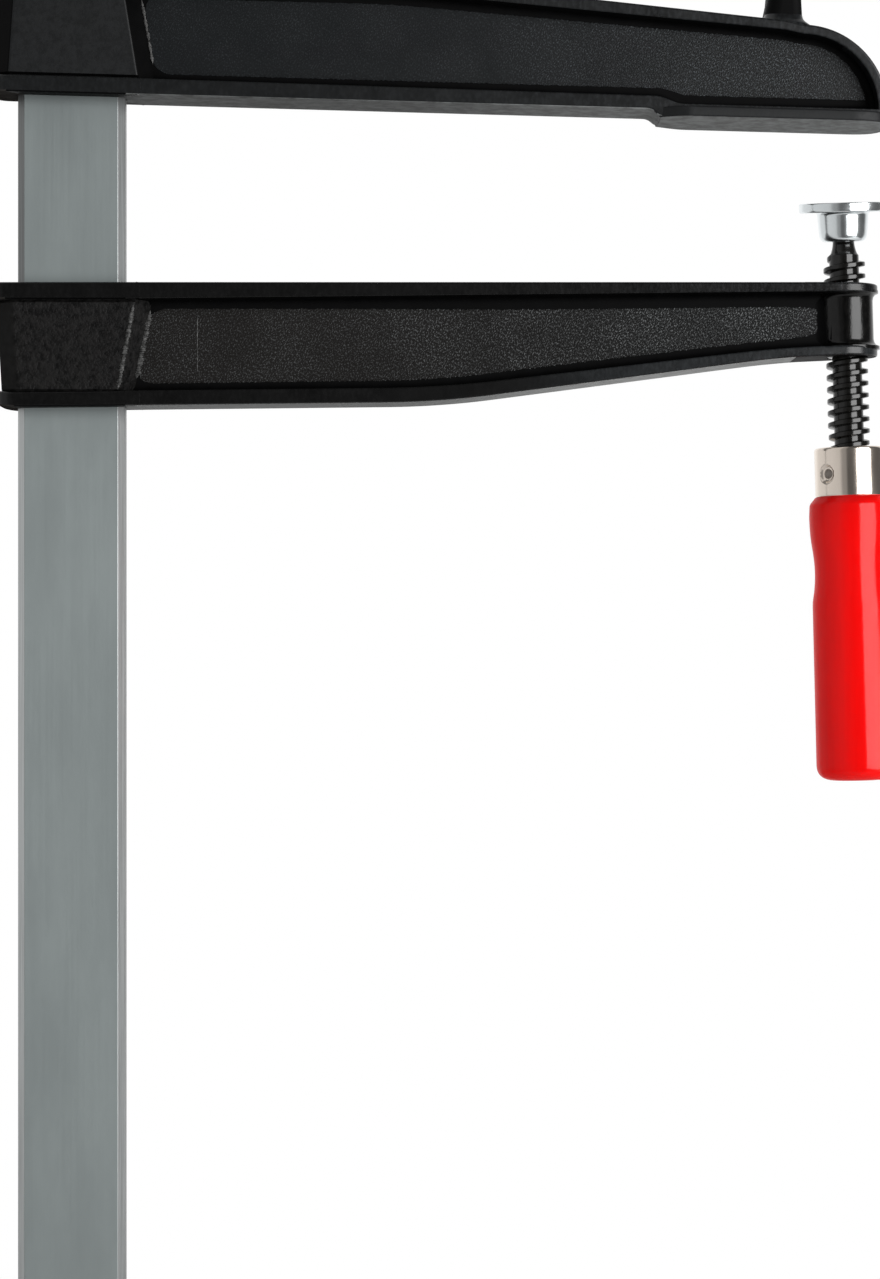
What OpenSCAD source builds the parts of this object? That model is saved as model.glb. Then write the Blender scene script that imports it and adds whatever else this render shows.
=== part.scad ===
// Deep throat F-clamp: a flat bar, a fixed arm pinned to its top, an arm that slides on it,
// and a screw with a wooden handle and a swivelling pressure plate.
// The origin is where the screw's axis meets the fixed jaw. +X points away from the bar, +Z up along it.

/* [Bar] */
// Width of the bar, along X
bar_w = 45; // [36:1:60]
// Thickness of the bar, along Y
bar_t = 12; // [9:0.5:15]
// Bevel along each edge of the bar
bar_bevel = 1.9; // [1:0.1:3]
// How far the bar hangs below the jaw
bar_drop = 500; // [420:10:1000]
// Diameter of the stop pin at the bar's foot
stop_pin_d = 5; // [3:0.5:8]
// How far the stop pin stands out of each face of the bar
stop_pin_out = 4; // [2:0.5:5]
// Height of the stop pin above the bar's foot
stop_pin_up = 7; // [5:0.5:15]

/* [Arms] */
// Throat: from the bar's front edge to the screw's axis at the jaw
throat = 300; // [240:5:350]
// Width of both arms' rims, along Y
arm_w = 30; // [30:1:40]
// Thickness of both arms' webs
web_t = 10; // [6:0.5:14]
// Wall of the boss on each side of the bar
boss_side = 8; // [6:0.5:9]
// Wall behind the bar, at the arm's back
heel_wall = 8; // [8:0.5:14]
// How far the heel leans out from the arm's back to its throat side
heel_lean = 4; // [0:0.5:6]
// Step at the heel from the rims in to the boss
heel_step = 1.2; // [0.5:0.1:2]
// How far the boss reaches in front of the bar, on the throat side
boss_reach = 7.2; // [4:0.2:12]
// How far the boss's front edge leans back from the throat side to the arm's back
boss_lean = 10; // [0:0.5:12]
// Length of the slope from the boss down to the web
boss_slope = 8; // [4:0.5:12]
// Clearance between each arm's socket or slot and the bar, on each side
slot_clear = 0.25; // [0.1:0.05:0.5]

/* [Fixed arm] */
// Droop of the fixed arm towards its tip, in degrees
toe_in = 1.6; // [0:0.1:3]
// Depth of the fixed arm at the bar
fixed_depth = 52; // [46:1:64]
// Depth of the fixed arm's tip above the jaw
tip_depth = 40.3; // [38.5:0.1:48]
// Depth of the fixed arm at the lug, above the jaw
lug_depth = 41.9; // [40:0.1:49]
// Radius of the fixed arm's nose
nose_r = 36; // [30:1:38]
// Distance from the screw's axis to where the fixed arm's back begins to slope
fixed_bend = 190; // [130:1:230]
// Thickness of the fixed arm's rim along its back
back_rim = 6; // [4:0.5:9]
// Thickness of the fixed arm's rim on the throat side
throat_rim = 6; // [4:0.5:9]
// Thickness of the rim round the nose
nose_rim = 4; // [3:0.5:8]
// Thickness of the rim above the jaw's edge
jaw_rim = 2; // [1:0.1:5]
// Step from the arm's throat side down to the jaw
jaw_step = 3.3; // [1:0.1:5]
// How far the jaw reaches from the screw's axis towards the bar
jaw_back = 77; // [40:1:90]
// How far the jaw reaches past the screw's axis
jaw_front = 19.2; // [18:0.2:26]
// Width of the jaw
jaw_w = 41; // [36:1:56]
// How far the jaw's edge stands out past the nose above it
nose_step = 0.9; // [0.3:0.1:2]
// Thickness of the jaw's edge
jaw_t = 4.4; // [3:0.1:7]
// Corner radius of the jaw's free end
jaw_corner = 9; // [3:0.5:14]
// Length over which the jaw widens from the arm
jaw_flare = 10; // [5:0.5:20]
// Width of the lug on the arm's back, along X
lug_w = 14.2; // [8:0.2:18]
// Depth of the lug, along Y
lug_d = 22; // [14:1:28]
// Distance from the screw's axis back to the middle of the lug
lug_back = 25.8; // [25:0.2:40]
// Height of the lug above the jaw
lug_top = 60; // [52:1:70]
// Flare at each side of the lug's foot
lug_flare = 2; // [1:0.1:5]
// Diameter of the two pins that lock the fixed arm to the bar
arm_pin_d = 8; // [5:0.5:10]
// Height of the lower arm pin above the jaw
arm_pin_low = 25; // [22:0.5:28]
// Spacing of the two arm pins
arm_pin_gap = 22; // [16:0.5:24]

/* [Sliding arm] */
// Depth of the sliding arm's upper side below the jaw, as stored
arm_drop = 66.4; // [66:0.2:90]
// Depth of the sliding arm at the bar
slide_depth = 52; // [44:0.5:60]
// Depth of the sliding arm at the barrel
barrel_depth = 30.2; // [22:0.2:34]
// Rise of the sliding arm's lower side between the heel and the bend
slide_rise = 2; // [0:0.5:6]
// Distance from the screw's axis to the bend in the sliding arm's lower side
slide_bend = 168; // [120:1:220]
// Length of the flat under the barrel, from the screw's axis towards the bar
barrel_flat = 12; // [8:0.5:20]
// Thickness of the sliding arm's rims at the bar
slide_rim = 6.2; // [4:0.1:9]
// Thickness of the sliding arm's rims at the barrel
tip_rim = 4; // [3:0.1:7]
// Wall of the barrel round the screw's thread
barrel_wall = 2.4; // [2:0.1:5]
// How far the rims' rounded ends reach past the screw's axis
tip_reach = 13.6; // [12:0.2:16]
// Diameter of the two grip pins in the slot
grip_pin_d = 6; // [4:0.5:7]
// How far each grip pin stands out of the slot's wall
grip_pin_proud = 0.12; // [0.02:0.02:0.2]
// Distance of each grip pin from the end of the slot
grip_pin_inset = 10; // [7:0.5:15]

/* [Screw] */
// Lean of the screw's axis towards the bar at its top, in degrees
lean = 1.7; // [0:0.1:3]
// Thread's outer diameter
thread_d = 17.5; // [14:0.5:18]
// Thread's root diameter
root_d = 12.4; // [11:0.2:13]
// Thread's pitch
pitch = 5; // [4:0.25:6]
// Width of the thread's crest
crest_w = 1.8; // [1:0.1:2]
// Slope of the thread's flanks, in degrees
flank = 15; // [10:1:20]
// Gap between the screw's thread and the barrel's thread
thread_clear = 0.3; // [0.2:0.05:0.4]
// Distance from the jaw to the start of the thread
thread_top = 54.9; // [53:0.1:62]
// Diameter of the neck under the ball
neck_d = 9; // [7:0.5:10]
// Diameter of the neck where it meets the thread
shoulder_d = 11.5; // [10:0.5:12]
// Diameter of the ball on the screw's head
ball_d = 14; // [12:0.5:15]
// Diameter of the plain tang inside the handle
tang_d = 12; // [9:0.5:12]
// How far the tang reaches into the handle, below the ferrule
tang_len = 70; // [40:1:95]

/* [Pressure plate] */
// Opening between the jaw and the pressure plate, as stored
opening = 31.8; // [31.8:0.2:60]
// Diameter of the plate
plate_d = 36.6; // [30:0.2:44]
// Thickness of the plate's rim
plate_rim = 4; // [2:0.1:5]
// Wall above the ball
plate_crown = 4; // [1.5:0.1:5]
// Height of the plate with its cup
plate_h = 16.3; // [15.8:0.1:18]
// Diameter of the cup, at its top
cup_d = 21.6; // [20:0.2:26]
// Narrowing of the cup's radius down to its foot
cup_draft = 0.9; // [0:0.1:1]
// Rounding of the cup's foot
cup_round = 2.4; // [1:0.1:2.5]
// Clearance between the ball and its seat
ball_clear = 0.08; // [0.02:0.01:0.1]
// Gap between the ball and the cup's mouth
mouth_clear = 0.15; // [0.1:0.05:0.3]
// Thickness of the ring in the ball's groove
ring_t = 1.4; // [1:0.1:1.8]
// How far the ring stands out of the ball
ring_out = 0.55; // [0.4:0.05:0.8]
// How deep the ring sits in the ball
ring_in = 1; // [0.6:0.1:1.6]
// Gap at the ring's split
ring_split = 2; // [1:0.2:4]
// Room above and below the ring, for the plate's tilt
ring_room = 1.7; // [1.4:0.1:2]
// How far the plate's front edge hangs down on the ball, as stored, in degrees
plate_hang = 6.5; // [0:0.5:8]

/* [Handle] */
// Distance from the jaw to the ferrule
ferrule_top = 134.6; // [133:0.2:160]
// Outer diameter of the ferrule
ferrule_d = 29.8; // [26:0.2:34]
// Length of the ferrule
ferrule_len = 20.6; // [16:0.2:26]
// Wall of the ferrule
ferrule_wall = 1.3; // [1:0.1:2.5]
// Rounding of the ferrule's top edge
ferrule_round = 1.5; // [1.4:0.1:3]
// Diameter of the cross pin
cross_pin_d = 5; // [3:0.5:6]
// Diameter of the dimple round the cross pin
dimple_d = 8; // [7:0.2:10]
// Direction of the cross pin, in degrees left of the front
cross_pin_turn = 49; // [0:1:90]
// Distance from the ferrule's top to the cross pin
cross_pin_down = 11.2; // [8:0.2:13]
// Length of the handle below the ferrule
handle_len = 119; // [100:1:150]
// Diameter of the handle at the shoulder
shoulder_bulge_d = 35.6; // [34:0.2:40]
// Diameter of the handle at its waist
waist_d = 32.2; // [28:0.2:33]
// Diameter of the handle's body, under the waist
swell_d = 34.8; // [34:0.2:40]
// Diameter of the handle's body, at its foot
grip_d = 35.6; // [34:0.2:40]
// Chamfer at the handle's shoulder
shoulder_cut = 2.6; // [1:0.1:3]
// Distance from the ferrule to the end of the shoulder's straight part
bulge_down = 10; // [8:0.5:14]
// Distance from the ferrule to the waist
waist_down = 31.4; // [24:0.2:36]
// Distance from the ferrule to the body's upper end
swell_down = 45.6; // [42:0.2:60]
// Rounding of the handle's foot
foot_round = 7; // [2:0.1:9]

/* [Hidden] */
$fn = 64;
// Seat clearance between pieces that are fixed together
seat = 0.05;
// Overshoot of cuts past a face
over = 1;
// How deep the boss's slope starts in the boss, and how deep its foot runs into the web
ramp_step = 0.3;
// How much wider than half the rims their round ends past the screw are drawn
tip_out = 0.5;

bar_front = -throat;
bar_back = bar_front - bar_w;
bar_mid = bar_front - bar_w / 2;
boss_w = bar_t + 2 * boss_side;
heel_back = bar_back - heel_wall;
heel_throat = heel_back - heel_lean;
boss_throat = bar_front + boss_reach;
boss_back = boss_throat - boss_lean;

nose_x = jaw_front - nose_step - nose_r;
nose_z = tip_depth - nose_r;
fixed_top = jaw_step + fixed_depth;
// The bar's upper end is flush with the drooping arm's back at the bar's front edge
bar_top = (fixed_top - bar_front * sin(toe_in)) / cos(toe_in);

slide_top = -arm_drop;
slide_foot = slide_top - slide_depth;
barrel_foot = slide_top - barrel_depth;
screw_x = arm_drop * sin(lean);
tip_r = arm_w / 2 + tip_out;
tip_x = screw_x + tip_reach - tip_r;
slot_back = bar_back - slot_clear;
slot_front = bar_front + slot_clear;

thread_r = thread_d / 2;
root_r = root_d / 2;
flank_w = (thread_r - root_r) * tan(flank);
thread_steps = 32;
barrel_r = thread_r + thread_clear + barrel_wall;

ball_r = ball_d / 2;
ball_z = -opening - plate_crown - ball_r - ball_clear;
cup_foot = -opening - plate_h;
ring_r = ball_r + ring_out;
ring_bore = ball_r - ring_in;

ferrule_foot = -ferrule_top - ferrule_len;
ferrule_r = ferrule_d / 2;
spigot_r = ferrule_r - ferrule_wall - seat;
handle_foot = ferrule_foot - handle_len;
cross_pin_z = -ferrule_top - cross_pin_down;

// Points along an arc about x, z, for a turned profile
function arc(x, z, r, from, to) = let (steps = 8)
    [for (i = [0:steps]) let (a = from + (to - from) * i / steps) [x + r * cos(a), z + r * sin(a)]];

// Stands an X-Z outline up and gives it a thickness along Y, centred on the arm's middle plane
module slab(thickness) {
    rotate([90, 0, 0]) linear_extrude(height = thickness, center = true) children();
}

// A round bar along Y at X, Z
module cross_bar(x, z, d, from_y, to_y) {
    translate([x, to_y, z]) rotate([90, 0, 0]) cylinder(d = d, h = to_y - from_y);
}

// Puts a piece drawn on the Z axis onto the leaning axis of the screw
module on_screw() {
    rotate([0, -lean, 0]) children();
}

// Slope from the boss's side walls down to the web, along a front edge that leans out by run over rise
module boss_ramp(x, z, run, rise) {
    crown = boss_w / 2 - ramp_step / 3;
    foot = web_t / 2 - ramp_step;
    translate([x, 0, z]) rotate([0, atan2(run, rise), 0]) linear_extrude(height = norm([run, rise]))
        polygon([
            [-over, -crown], [-ramp_step, -crown], [boss_slope, -foot],
            [boss_slope, foot], [-ramp_step, crown], [-over, crown]
        ]);
}

// The bar's cross-section, with its four edges bevelled, grown by a clearance
module bar_section(clear) {
    half_w = bar_w / 2 + clear;
    half_t = bar_t / 2 + clear;
    flat_w = half_w - bar_bevel;
    flat_t = half_t - bar_bevel;
    polygon([
        [-half_w, -flat_t], [-flat_w, -half_t], [flat_w, -half_t], [half_w, -flat_t],
        [half_w, flat_t], [flat_w, half_t], [-flat_w, half_t], [-half_w, flat_t]
    ]);
}

module bar_run(from_z, to_z, clear) {
    translate([bar_mid, 0, from_z]) linear_extrude(height = to_z - from_z) bar_section(clear);
}

// Helical thread with flat ends, between two heights. The helix passes through the same places at
// any start, so a screw and a nut that are drawn apart still mesh.
module thread(from_z, to_z, grow) {
    n = thread_steps;
    inner = root_r + grow;
    outer = thread_r + grow;
    base_w = crest_w + 2 * flank_w + 2 * grow;
    first = ceil((from_z + grow) / pitch * n) + 1;
    last = floor((to_z - pitch + grow) / pitch * n) - 1;
    count = last - first;
    lead = n / 2;
    function crest(i) = inner + (outer - inner) * min(1, (i + 1) / lead, (count + 1 - i) / lead);
    function foot_z(i) = (first + i) * pitch / n - grow;
    function spot(r, i, z) = [r * cos((first + i) * 360 / n), r * sin((first + i) * 360 / n), z];
    ridge = [for (i = [0:count]) each [
        spot(inner, i, foot_z(i)),
        spot(crest(i), i, foot_z(i) + flank_w),
        spot(crest(i), i, foot_z(i) + base_w - flank_w),
        spot(inner, i, foot_z(i) + base_w)
    ]];
    last_foot = [for (i = [count + 1:count + n]) spot(inner, i, foot_z(i))];
    low_ring = [for (i = [0:n - 1]) spot(inner, i, from_z)];
    high_ring = [for (i = [0:n - 1]) spot(inner, count + i, to_z)];
    low = len(ridge) + len(last_foot);
    high = low + n;
    function foot(i) = i <= count ? 4 * i : len(ridge) + i - count - 1;
    function quad(a, b, c, d) = [[a, b, c], [a, c, d]];
    function fan(hub, rim) = [for (i = [0:len(rim) - 2]) [hub, rim[i], rim[i + 1]]];
    sides = [for (i = [0:count - 1]) let (p = 4 * i) each concat(
        quad(p, p + 1, p + 5, p + 4),
        quad(p + 1, p + 2, p + 6, p + 5),
        quad(p + 2, p + 3, p + 7, p + 6),
        quad(p + 3, foot(i + n), foot(i + n + 1), p + 7)
    )];
    low_wall = [for (i = [0:n - 2]) each quad(low + i, foot(i), foot(i + 1), low + i + 1)];
    high_wall = [for (i = [1:n - 1])
        each quad(foot(count + i), high + i, high + (i + 1) % n, foot(count + i + 1))];
    end = 4 * count;
    polyhedron(
        points = concat(ridge, last_foot, low_ring, high_ring),
        faces = concat(
            sides, low_wall, high_wall,
            fan(low + n - 1, [foot(n - 1), foot(n), 3, 0, low]),
            fan(foot(count + 1), [end, end + 3, foot(count + n), high, high + 1]),
            quad(3, 2, 1, 0),
            quad(end, end + 1, end + 2, end + 3),
            [[for (i = [0:n - 1]) low + i]],
            [[for (i = [n - 1:-1:0]) high + i]]
        )
    );
}

module bar() {
    color("#80868a") difference() {
        bar_run(-bar_drop, bar_top, 0);
        for (z = [arm_pin_low, arm_pin_low + arm_pin_gap])
            cross_bar(bar_mid, z, arm_pin_d + 2 * seat, -bar_t, bar_t);
        cross_bar(bar_mid, stop_pin_up - bar_drop, stop_pin_d + 2 * seat, -bar_t, bar_t);
    }
}

module bar_stop_pin() {
    reach = bar_t / 2 + stop_pin_out;
    color("#8d9194") cross_bar(bar_mid, stop_pin_up - bar_drop, stop_pin_d, -reach, reach);
}

// The fixed arm's side view, drawn square to its own throat side
module fixed_outline() {
    polygon([
        [heel_throat, jaw_step], [heel_back, fixed_top], [-fixed_bend, fixed_top], [-lug_back, lug_depth],
        [nose_x, tip_depth], [nose_x, 0], [-jaw_back, 0], [-jaw_back - jaw_step, jaw_step]
    ]);
    translate([nose_x, 0]) square([nose_r, nose_z]);
    translate([nose_x, nose_z]) intersection() {
        circle(r = nose_r);
        square(nose_r);
    }
}

// The hollow on each side of the fixed arm's web
module fixed_hollow() {
    low = jaw_step + throat_rim;
    floor_z = max(jaw_t, nose_z) + jaw_rim;
    inner_r = nose_r - nose_rim;
    polygon([
        [bar_front, low], [bar_front, fixed_top - back_rim], [-fixed_bend, fixed_top - back_rim],
        [-lug_back, lug_depth - nose_rim], [nose_x, tip_depth - nose_rim], [nose_x, floor_z],
        [-jaw_back + jaw_flare, floor_z], [-jaw_back, low]
    ]);
    translate([nose_x, nose_z]) intersection() {
        circle(r = inner_r);
        translate([-over, floor_z - nose_z]) square(nose_r + over);
    }
}

// The jaw seen from below: it flares out of the arm and has round free corners
module jaw_plan() {
    half = jaw_w / 2;
    polygon(concat(
        [[-jaw_back, arm_w / 2 - over], [-jaw_back, over - arm_w / 2], [-jaw_back + jaw_flare, -half]],
        arc(jaw_front - jaw_corner, jaw_corner - half, jaw_corner, -90, 0),
        arc(jaw_front - jaw_corner, half - jaw_corner, jaw_corner, 0, 90),
        [[-jaw_back + jaw_flare, half]]
    ));
}

module lug() {
    foot = tip_depth - nose_rim;
    half = lug_w / 2;
    flare_top = lug_depth + 2 * lug_flare;
    translate([-lug_back, 0, 0]) slab(lug_d) polygon([
        [-half - lug_flare, foot], [-half - lug_flare, flare_top - 2 * lug_flare], [-half, flare_top],
        [-half, lug_top], [half, lug_top], [half, flare_top],
        [half + lug_flare, flare_top - 2 * lug_flare], [half + lug_flare, foot]
    ]);
}

module fixed_arm() {
    color("#1c1d1f") difference() {
        rotate([0, toe_in, 0]) {
            slab(web_t) fixed_outline();
            slab(arm_w) difference() {
                fixed_outline();
                fixed_hollow();
                translate([heel_throat - over, jaw_step + throat_rim])
                    square([bar_front - heel_throat + 2 * over, fixed_depth - throat_rim - back_rim]);
            }
            slab(boss_w) polygon([
                [heel_throat + heel_step, jaw_step], [heel_back + heel_step, fixed_top],
                [boss_back, fixed_top], [boss_throat, jaw_step]
            ]);
            intersection() {
                boss_ramp(boss_throat, jaw_step, -boss_lean, fixed_depth);
                translate([bar_back, -boss_w, jaw_step + over])
                    cube([bar_w + throat, 2 * boss_w, fixed_depth - 2 * over]);
            }
            linear_extrude(height = jaw_t) jaw_plan();
            lug();
        }
        bar_run(-bar_drop, fixed_top * 2, slot_clear);
        for (z = [arm_pin_low, arm_pin_low + arm_pin_gap])
            cross_bar(bar_mid, z, arm_pin_d + 2 * seat, arm_pin_front - seat, arm_w);
    }
}

// The arm pins are driven from the back and stop short of the boss's front face
arm_pin_front = -boss_w / 2 + boss_side / 2;

module arm_pin(z) {
    color("#6f7478") cross_bar(bar_mid, z, arm_pin_d, arm_pin_front, boss_w / 2);
}

module upper_arm_pin() {
    arm_pin(arm_pin_low + arm_pin_gap);
}

module lower_arm_pin() {
    arm_pin(arm_pin_low);
}

// Lower side of the sliding arm: nearly level to the bend, then up to the flat under the barrel
function slide_under(x) =
    let (bend_z = slide_foot + slide_rise, flat_x = screw_x - barrel_flat)
    x < -slide_bend ? slide_foot + slide_rise * (x - heel_back) / (-slide_bend - heel_back)
    : x < flat_x ? bend_z + (barrel_foot - bend_z) * (x + slide_bend) / (flat_x + slide_bend)
    : barrel_foot;

module slide_outline() {
    end_x = tip_x + tip_r;
    flat_x = screw_x - barrel_flat;
    polygon([
        [heel_throat, slide_top], [end_x, slide_top], [end_x, barrel_foot],
        [flat_x, barrel_foot], [-slide_bend, slide_under(-slide_bend)], [heel_back, slide_foot]
    ]);
}

// The hollow on each side of the sliding arm's web, and round its barrel
module slide_hollow() {
    end_x = tip_x + tip_r + over;
    flat_x = screw_x - barrel_flat;
    polygon([
        [heel_throat - over, slide_top - slide_rim], [bar_front, slide_top - slide_rim],
        [end_x, slide_top - tip_rim], [end_x, barrel_foot + tip_rim], [flat_x, barrel_foot + tip_rim],
        [-slide_bend, slide_under(-slide_bend) + slide_rim], [heel_throat - over, slide_foot + slide_rim]
    ]);
}

// Where the two grip pins touch the bar: high behind it and low in front of it, as the load tips the arm
upper_grip = [slot_back - grip_pin_d / 2 + grip_pin_proud, slide_top - grip_pin_inset];
lower_grip = [slot_front + grip_pin_d / 2 - grip_pin_proud, slide_foot + grip_pin_inset];
grip_half = bar_t / 2 - bar_bevel / 3;

// The rims seen from above: parallel, with a round end past the screw
module rim_plan() {
    translate([heel_throat - over, -arm_w]) square([tip_x - heel_throat + over, 2 * arm_w]);
    translate([tip_x, 0]) circle(r = tip_r);
}

module sliding_arm() {
    color("#1a1b1d") difference() {
        union() {
            slab(web_t) intersection() {
                slide_outline();
                translate([heel_throat, slide_foot]) square([screw_x - heel_throat, slide_depth]);
            }
            intersection() {
                slab(arm_w) difference() {
                    slide_outline();
                    slide_hollow();
                }
                translate([0, 0, slide_foot - over]) linear_extrude(height = slide_depth + 2 * over) rim_plan();
            }
            slab(boss_w) polygon([
                [heel_throat + heel_step, slide_top], [boss_throat, slide_top],
                [boss_back, slide_foot], [heel_back + heel_step, slide_foot]
            ]);
            intersection() {
                boss_ramp(boss_back, slide_foot, boss_lean, slide_depth);
                translate([bar_back, -boss_w, slide_foot + over])
                    cube([bar_w + throat, 2 * boss_w, slide_depth - 2 * over]);
            }
            intersection() {
                on_screw() translate([0, 0, -bar_drop]) cylinder(r = barrel_r, h = bar_drop);
                translate([-barrel_r, -arm_w / 2, barrel_foot + over])
                    cube([4 * barrel_r, arm_w, barrel_depth - 2 * over]);
            }
        }
        bar_run(slide_foot - over, slide_top + over, slot_clear);
        on_screw() thread(barrel_foot - 2 * pitch, slide_top + 2 * pitch, thread_clear);
        for (grip = [upper_grip, lower_grip])
            cross_bar(grip[0], grip[1], grip_pin_d + 2 * seat, -grip_half - seat, arm_w);
    }
}

module grip_pin(grip) {
    color("#6f7478") cross_bar(grip[0], grip[1], grip_pin_d, -grip_half, grip_half);
}

module upper_grip_pin() {
    grip_pin(upper_grip);
}

module lower_grip_pin() {
    grip_pin(lower_grip);
}

module spindle() {
    neck_r = neck_d / 2;
    neck_z = ball_z - sqrt(ball_r * ball_r - neck_r * neck_r);
    tang_r = tang_d / 2;
    tang_foot = ferrule_foot - tang_len;
    groove = ring_t / 2 + seat;
    groove_r = ring_bore - seat;
    color("#232427") on_screw() difference() {
        union() {
            translate([0, 0, ball_z]) sphere(r = ball_r);
            rotate_extrude() polygon([
                [0, ball_z], [neck_r, ball_z], [neck_r, cup_foot], [shoulder_d / 2, -thread_top],
                [tang_r, -thread_top - pitch], [tang_r, tang_foot], [0, tang_foot]
            ]);
            thread(-ferrule_top + seat, -thread_top, 0);
        }
        translate([0, 0, ball_z - groove]) difference() {
            cylinder(r = ball_r + over, h = 2 * groove);
            translate([0, 0, -over]) cylinder(r = groove_r, h = 2 * groove + 2 * over);
        }
        cross_pin(cross_pin_d + 2 * seat, ferrule_d);
    }
}

// A round bar across the screw's axis in the cross pin's direction
module cross_pin(d, length) {
    rotate([0, 0, -cross_pin_turn]) cross_bar(0, cross_pin_z, d, -length / 2, length / 2);
}

module ball_ring() {
    color("#9a9da0") on_screw() translate([0, 0, ball_z - ring_t / 2]) difference() {
        cylinder(r = ring_r, h = ring_t);
        translate([0, 0, -over]) cylinder(r = ring_bore, h = ring_t + 2 * over);
        translate([0, -ring_split / 2, -over]) cube([2 * ring_r, ring_split, ring_t + 2 * over]);
    }
}

// Tips a piece drawn square to the screw's axis about the middle of the ball
module hanging() {
    translate([0, 0, ball_z]) rotate([plate_hang, 0, 0]) translate([0, 0, -ball_z]) children();
}

module pressure_plate() {
    plate_r = plate_d / 2;
    cup_r = cup_d / 2;
    foot_r = cup_r - cup_draft;
    seat_r = ball_r + ball_clear;
    room_r = ring_r + ball_clear + mouth_clear + ring_out / 2;
    room = ring_t / 2 + ring_room;
    color("#c8ccce") on_screw() hanging() difference() {
        union() {
            translate([0, 0, -opening - plate_rim]) cylinder(r = plate_r, h = plate_rim);
            rotate_extrude() polygon(concat(
                [[0, -opening - plate_rim / 2], [cup_r, -opening - plate_rim / 2]],
                arc(foot_r - cup_round, cup_foot + cup_round, cup_round, 0, -90),
                [[0, cup_foot]]
            ));
        }
        translate([0, 0, ball_z]) sphere(r = seat_r);
        translate([0, 0, ball_z - room]) cylinder(r = room_r, h = 2 * room);
        translate([0, 0, cup_foot - over]) cylinder(r = ball_r + mouth_clear, h = ball_z - cup_foot + over);
    }
}

module ferrule() {
    inner_r = ferrule_r - ferrule_wall;
    color("#b9b2a6") on_screw() difference() {
        rotate_extrude() polygon(concat(
            [[tang_d / 2 + seat, -ferrule_top]],
            arc(ferrule_r - ferrule_round, -ferrule_top - ferrule_round, ferrule_round, 90, 0),
            [
                [ferrule_r, ferrule_foot], [inner_r, ferrule_foot],
                [inner_r, -ferrule_top - ferrule_wall], [tang_d / 2 + seat, -ferrule_top - ferrule_wall]
            ]
        ));
        cross_pin(cross_pin_d + 2 * seat, 2 * ferrule_d);
        for (side = [0, 180]) rotate([0, 0, side - cross_pin_turn])
            translate([0, -ferrule_r - seat, cross_pin_z]) rotate([-90, 0, 0])
                cylinder(d1 = dimple_d, d2 = cross_pin_d, h = ferrule_wall);
    }
}

module ferrule_pin() {
    color("#a8a49c") on_screw() cross_pin(cross_pin_d, ferrule_d - 2 * ferrule_wall);
}

// Turned profile of the handle: spigot in the ferrule, shoulder, waist, body and rounded foot
module handle() {
    bulge_r = shoulder_bulge_d / 2;
    waist_r = waist_d / 2;
    swell_r = swell_d / 2;
    grip_r = grip_d / 2;
    waist_z = ferrule_foot - waist_down;
    shoulder_z = ferrule_foot - 2 * shoulder_cut;
    swell_z = ferrule_foot - swell_down;
    steps = 12;
    function sway(top_r, top_z, low_r, low_z) = [for (i = [0:steps])
        let (t = i / steps, ease = (1 - cos(180 * t)) / 2)
        [top_r + (low_r - top_r) * ease, top_z + (low_z - top_z) * t]];
    color("#e01812") on_screw() difference() {
        rotate_extrude() polygon(concat(
            [
                [0, -ferrule_top - ferrule_wall - seat], [spigot_r, -ferrule_top - ferrule_wall - seat],
                [spigot_r, ferrule_foot - seat], [bulge_r - shoulder_cut, ferrule_foot - seat],
                [bulge_r, shoulder_z]
            ],
            sway(bulge_r, ferrule_foot - bulge_down, waist_r, waist_z),
            sway(waist_r, waist_z - seat, swell_r, swell_z),
            arc(grip_r - foot_round, handle_foot + foot_round, foot_round, 0, -90),
            [[0, handle_foot]]
        ));
        translate([0, 0, ferrule_foot - tang_len - seat])
            cylinder(r = tang_d / 2 + seat, h = tang_len + 2 * ferrule_len);
        cross_pin(cross_pin_d + 2 * seat, 2 * ferrule_d);
    }
}

bar();
bar_stop_pin();
fixed_arm();
upper_arm_pin();
lower_arm_pin();
sliding_arm();
upper_grip_pin();
lower_grip_pin();
spindle();
ball_ring();
pressure_plate();
ferrule();
ferrule_pin();
handle();
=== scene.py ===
# Deep throat F-clamp: a drawn steel bar, two black castings, a black screw with a plated pressure
# plate, and a red lacquered handle. Sizes are in millimetres and become metres as each mesh is made.
# Places are in the clamp's own frame: the screw's axis meets the fixed jaw at the origin, Z is up.
import math

import bmesh
import bpy
import numpy as np
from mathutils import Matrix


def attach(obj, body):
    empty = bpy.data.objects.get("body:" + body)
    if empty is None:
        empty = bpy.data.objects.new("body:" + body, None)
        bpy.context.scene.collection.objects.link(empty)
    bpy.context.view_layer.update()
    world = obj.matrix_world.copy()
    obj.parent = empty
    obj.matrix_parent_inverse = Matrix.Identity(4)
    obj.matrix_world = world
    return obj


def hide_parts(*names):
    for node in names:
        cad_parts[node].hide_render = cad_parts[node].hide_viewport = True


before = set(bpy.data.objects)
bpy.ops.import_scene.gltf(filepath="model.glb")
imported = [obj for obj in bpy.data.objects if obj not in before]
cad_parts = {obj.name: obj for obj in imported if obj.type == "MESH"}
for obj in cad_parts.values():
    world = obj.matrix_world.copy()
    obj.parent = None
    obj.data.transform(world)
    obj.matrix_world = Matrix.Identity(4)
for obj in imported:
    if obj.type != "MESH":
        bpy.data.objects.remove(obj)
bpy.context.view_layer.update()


# The bar is a flat of cold-drawn steel with bevelled edges, about 560 mm long.
# Its upper end is pinned in the fixed arm, flush with the arm's back. Its faces keep fine lines from
# the drawing die and a thin, uneven grey film of oil.
BAR_BACK = -345.0
BAR_FRONT = -300.0
BAR_HALF = 6.0
BAR_BEVEL = 2.9
BAR_FOOT = -500.0
BAR_TOP = 63.7
BAR_END_ROUND = 0.5
BEVEL_ROUND = 0.2
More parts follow.
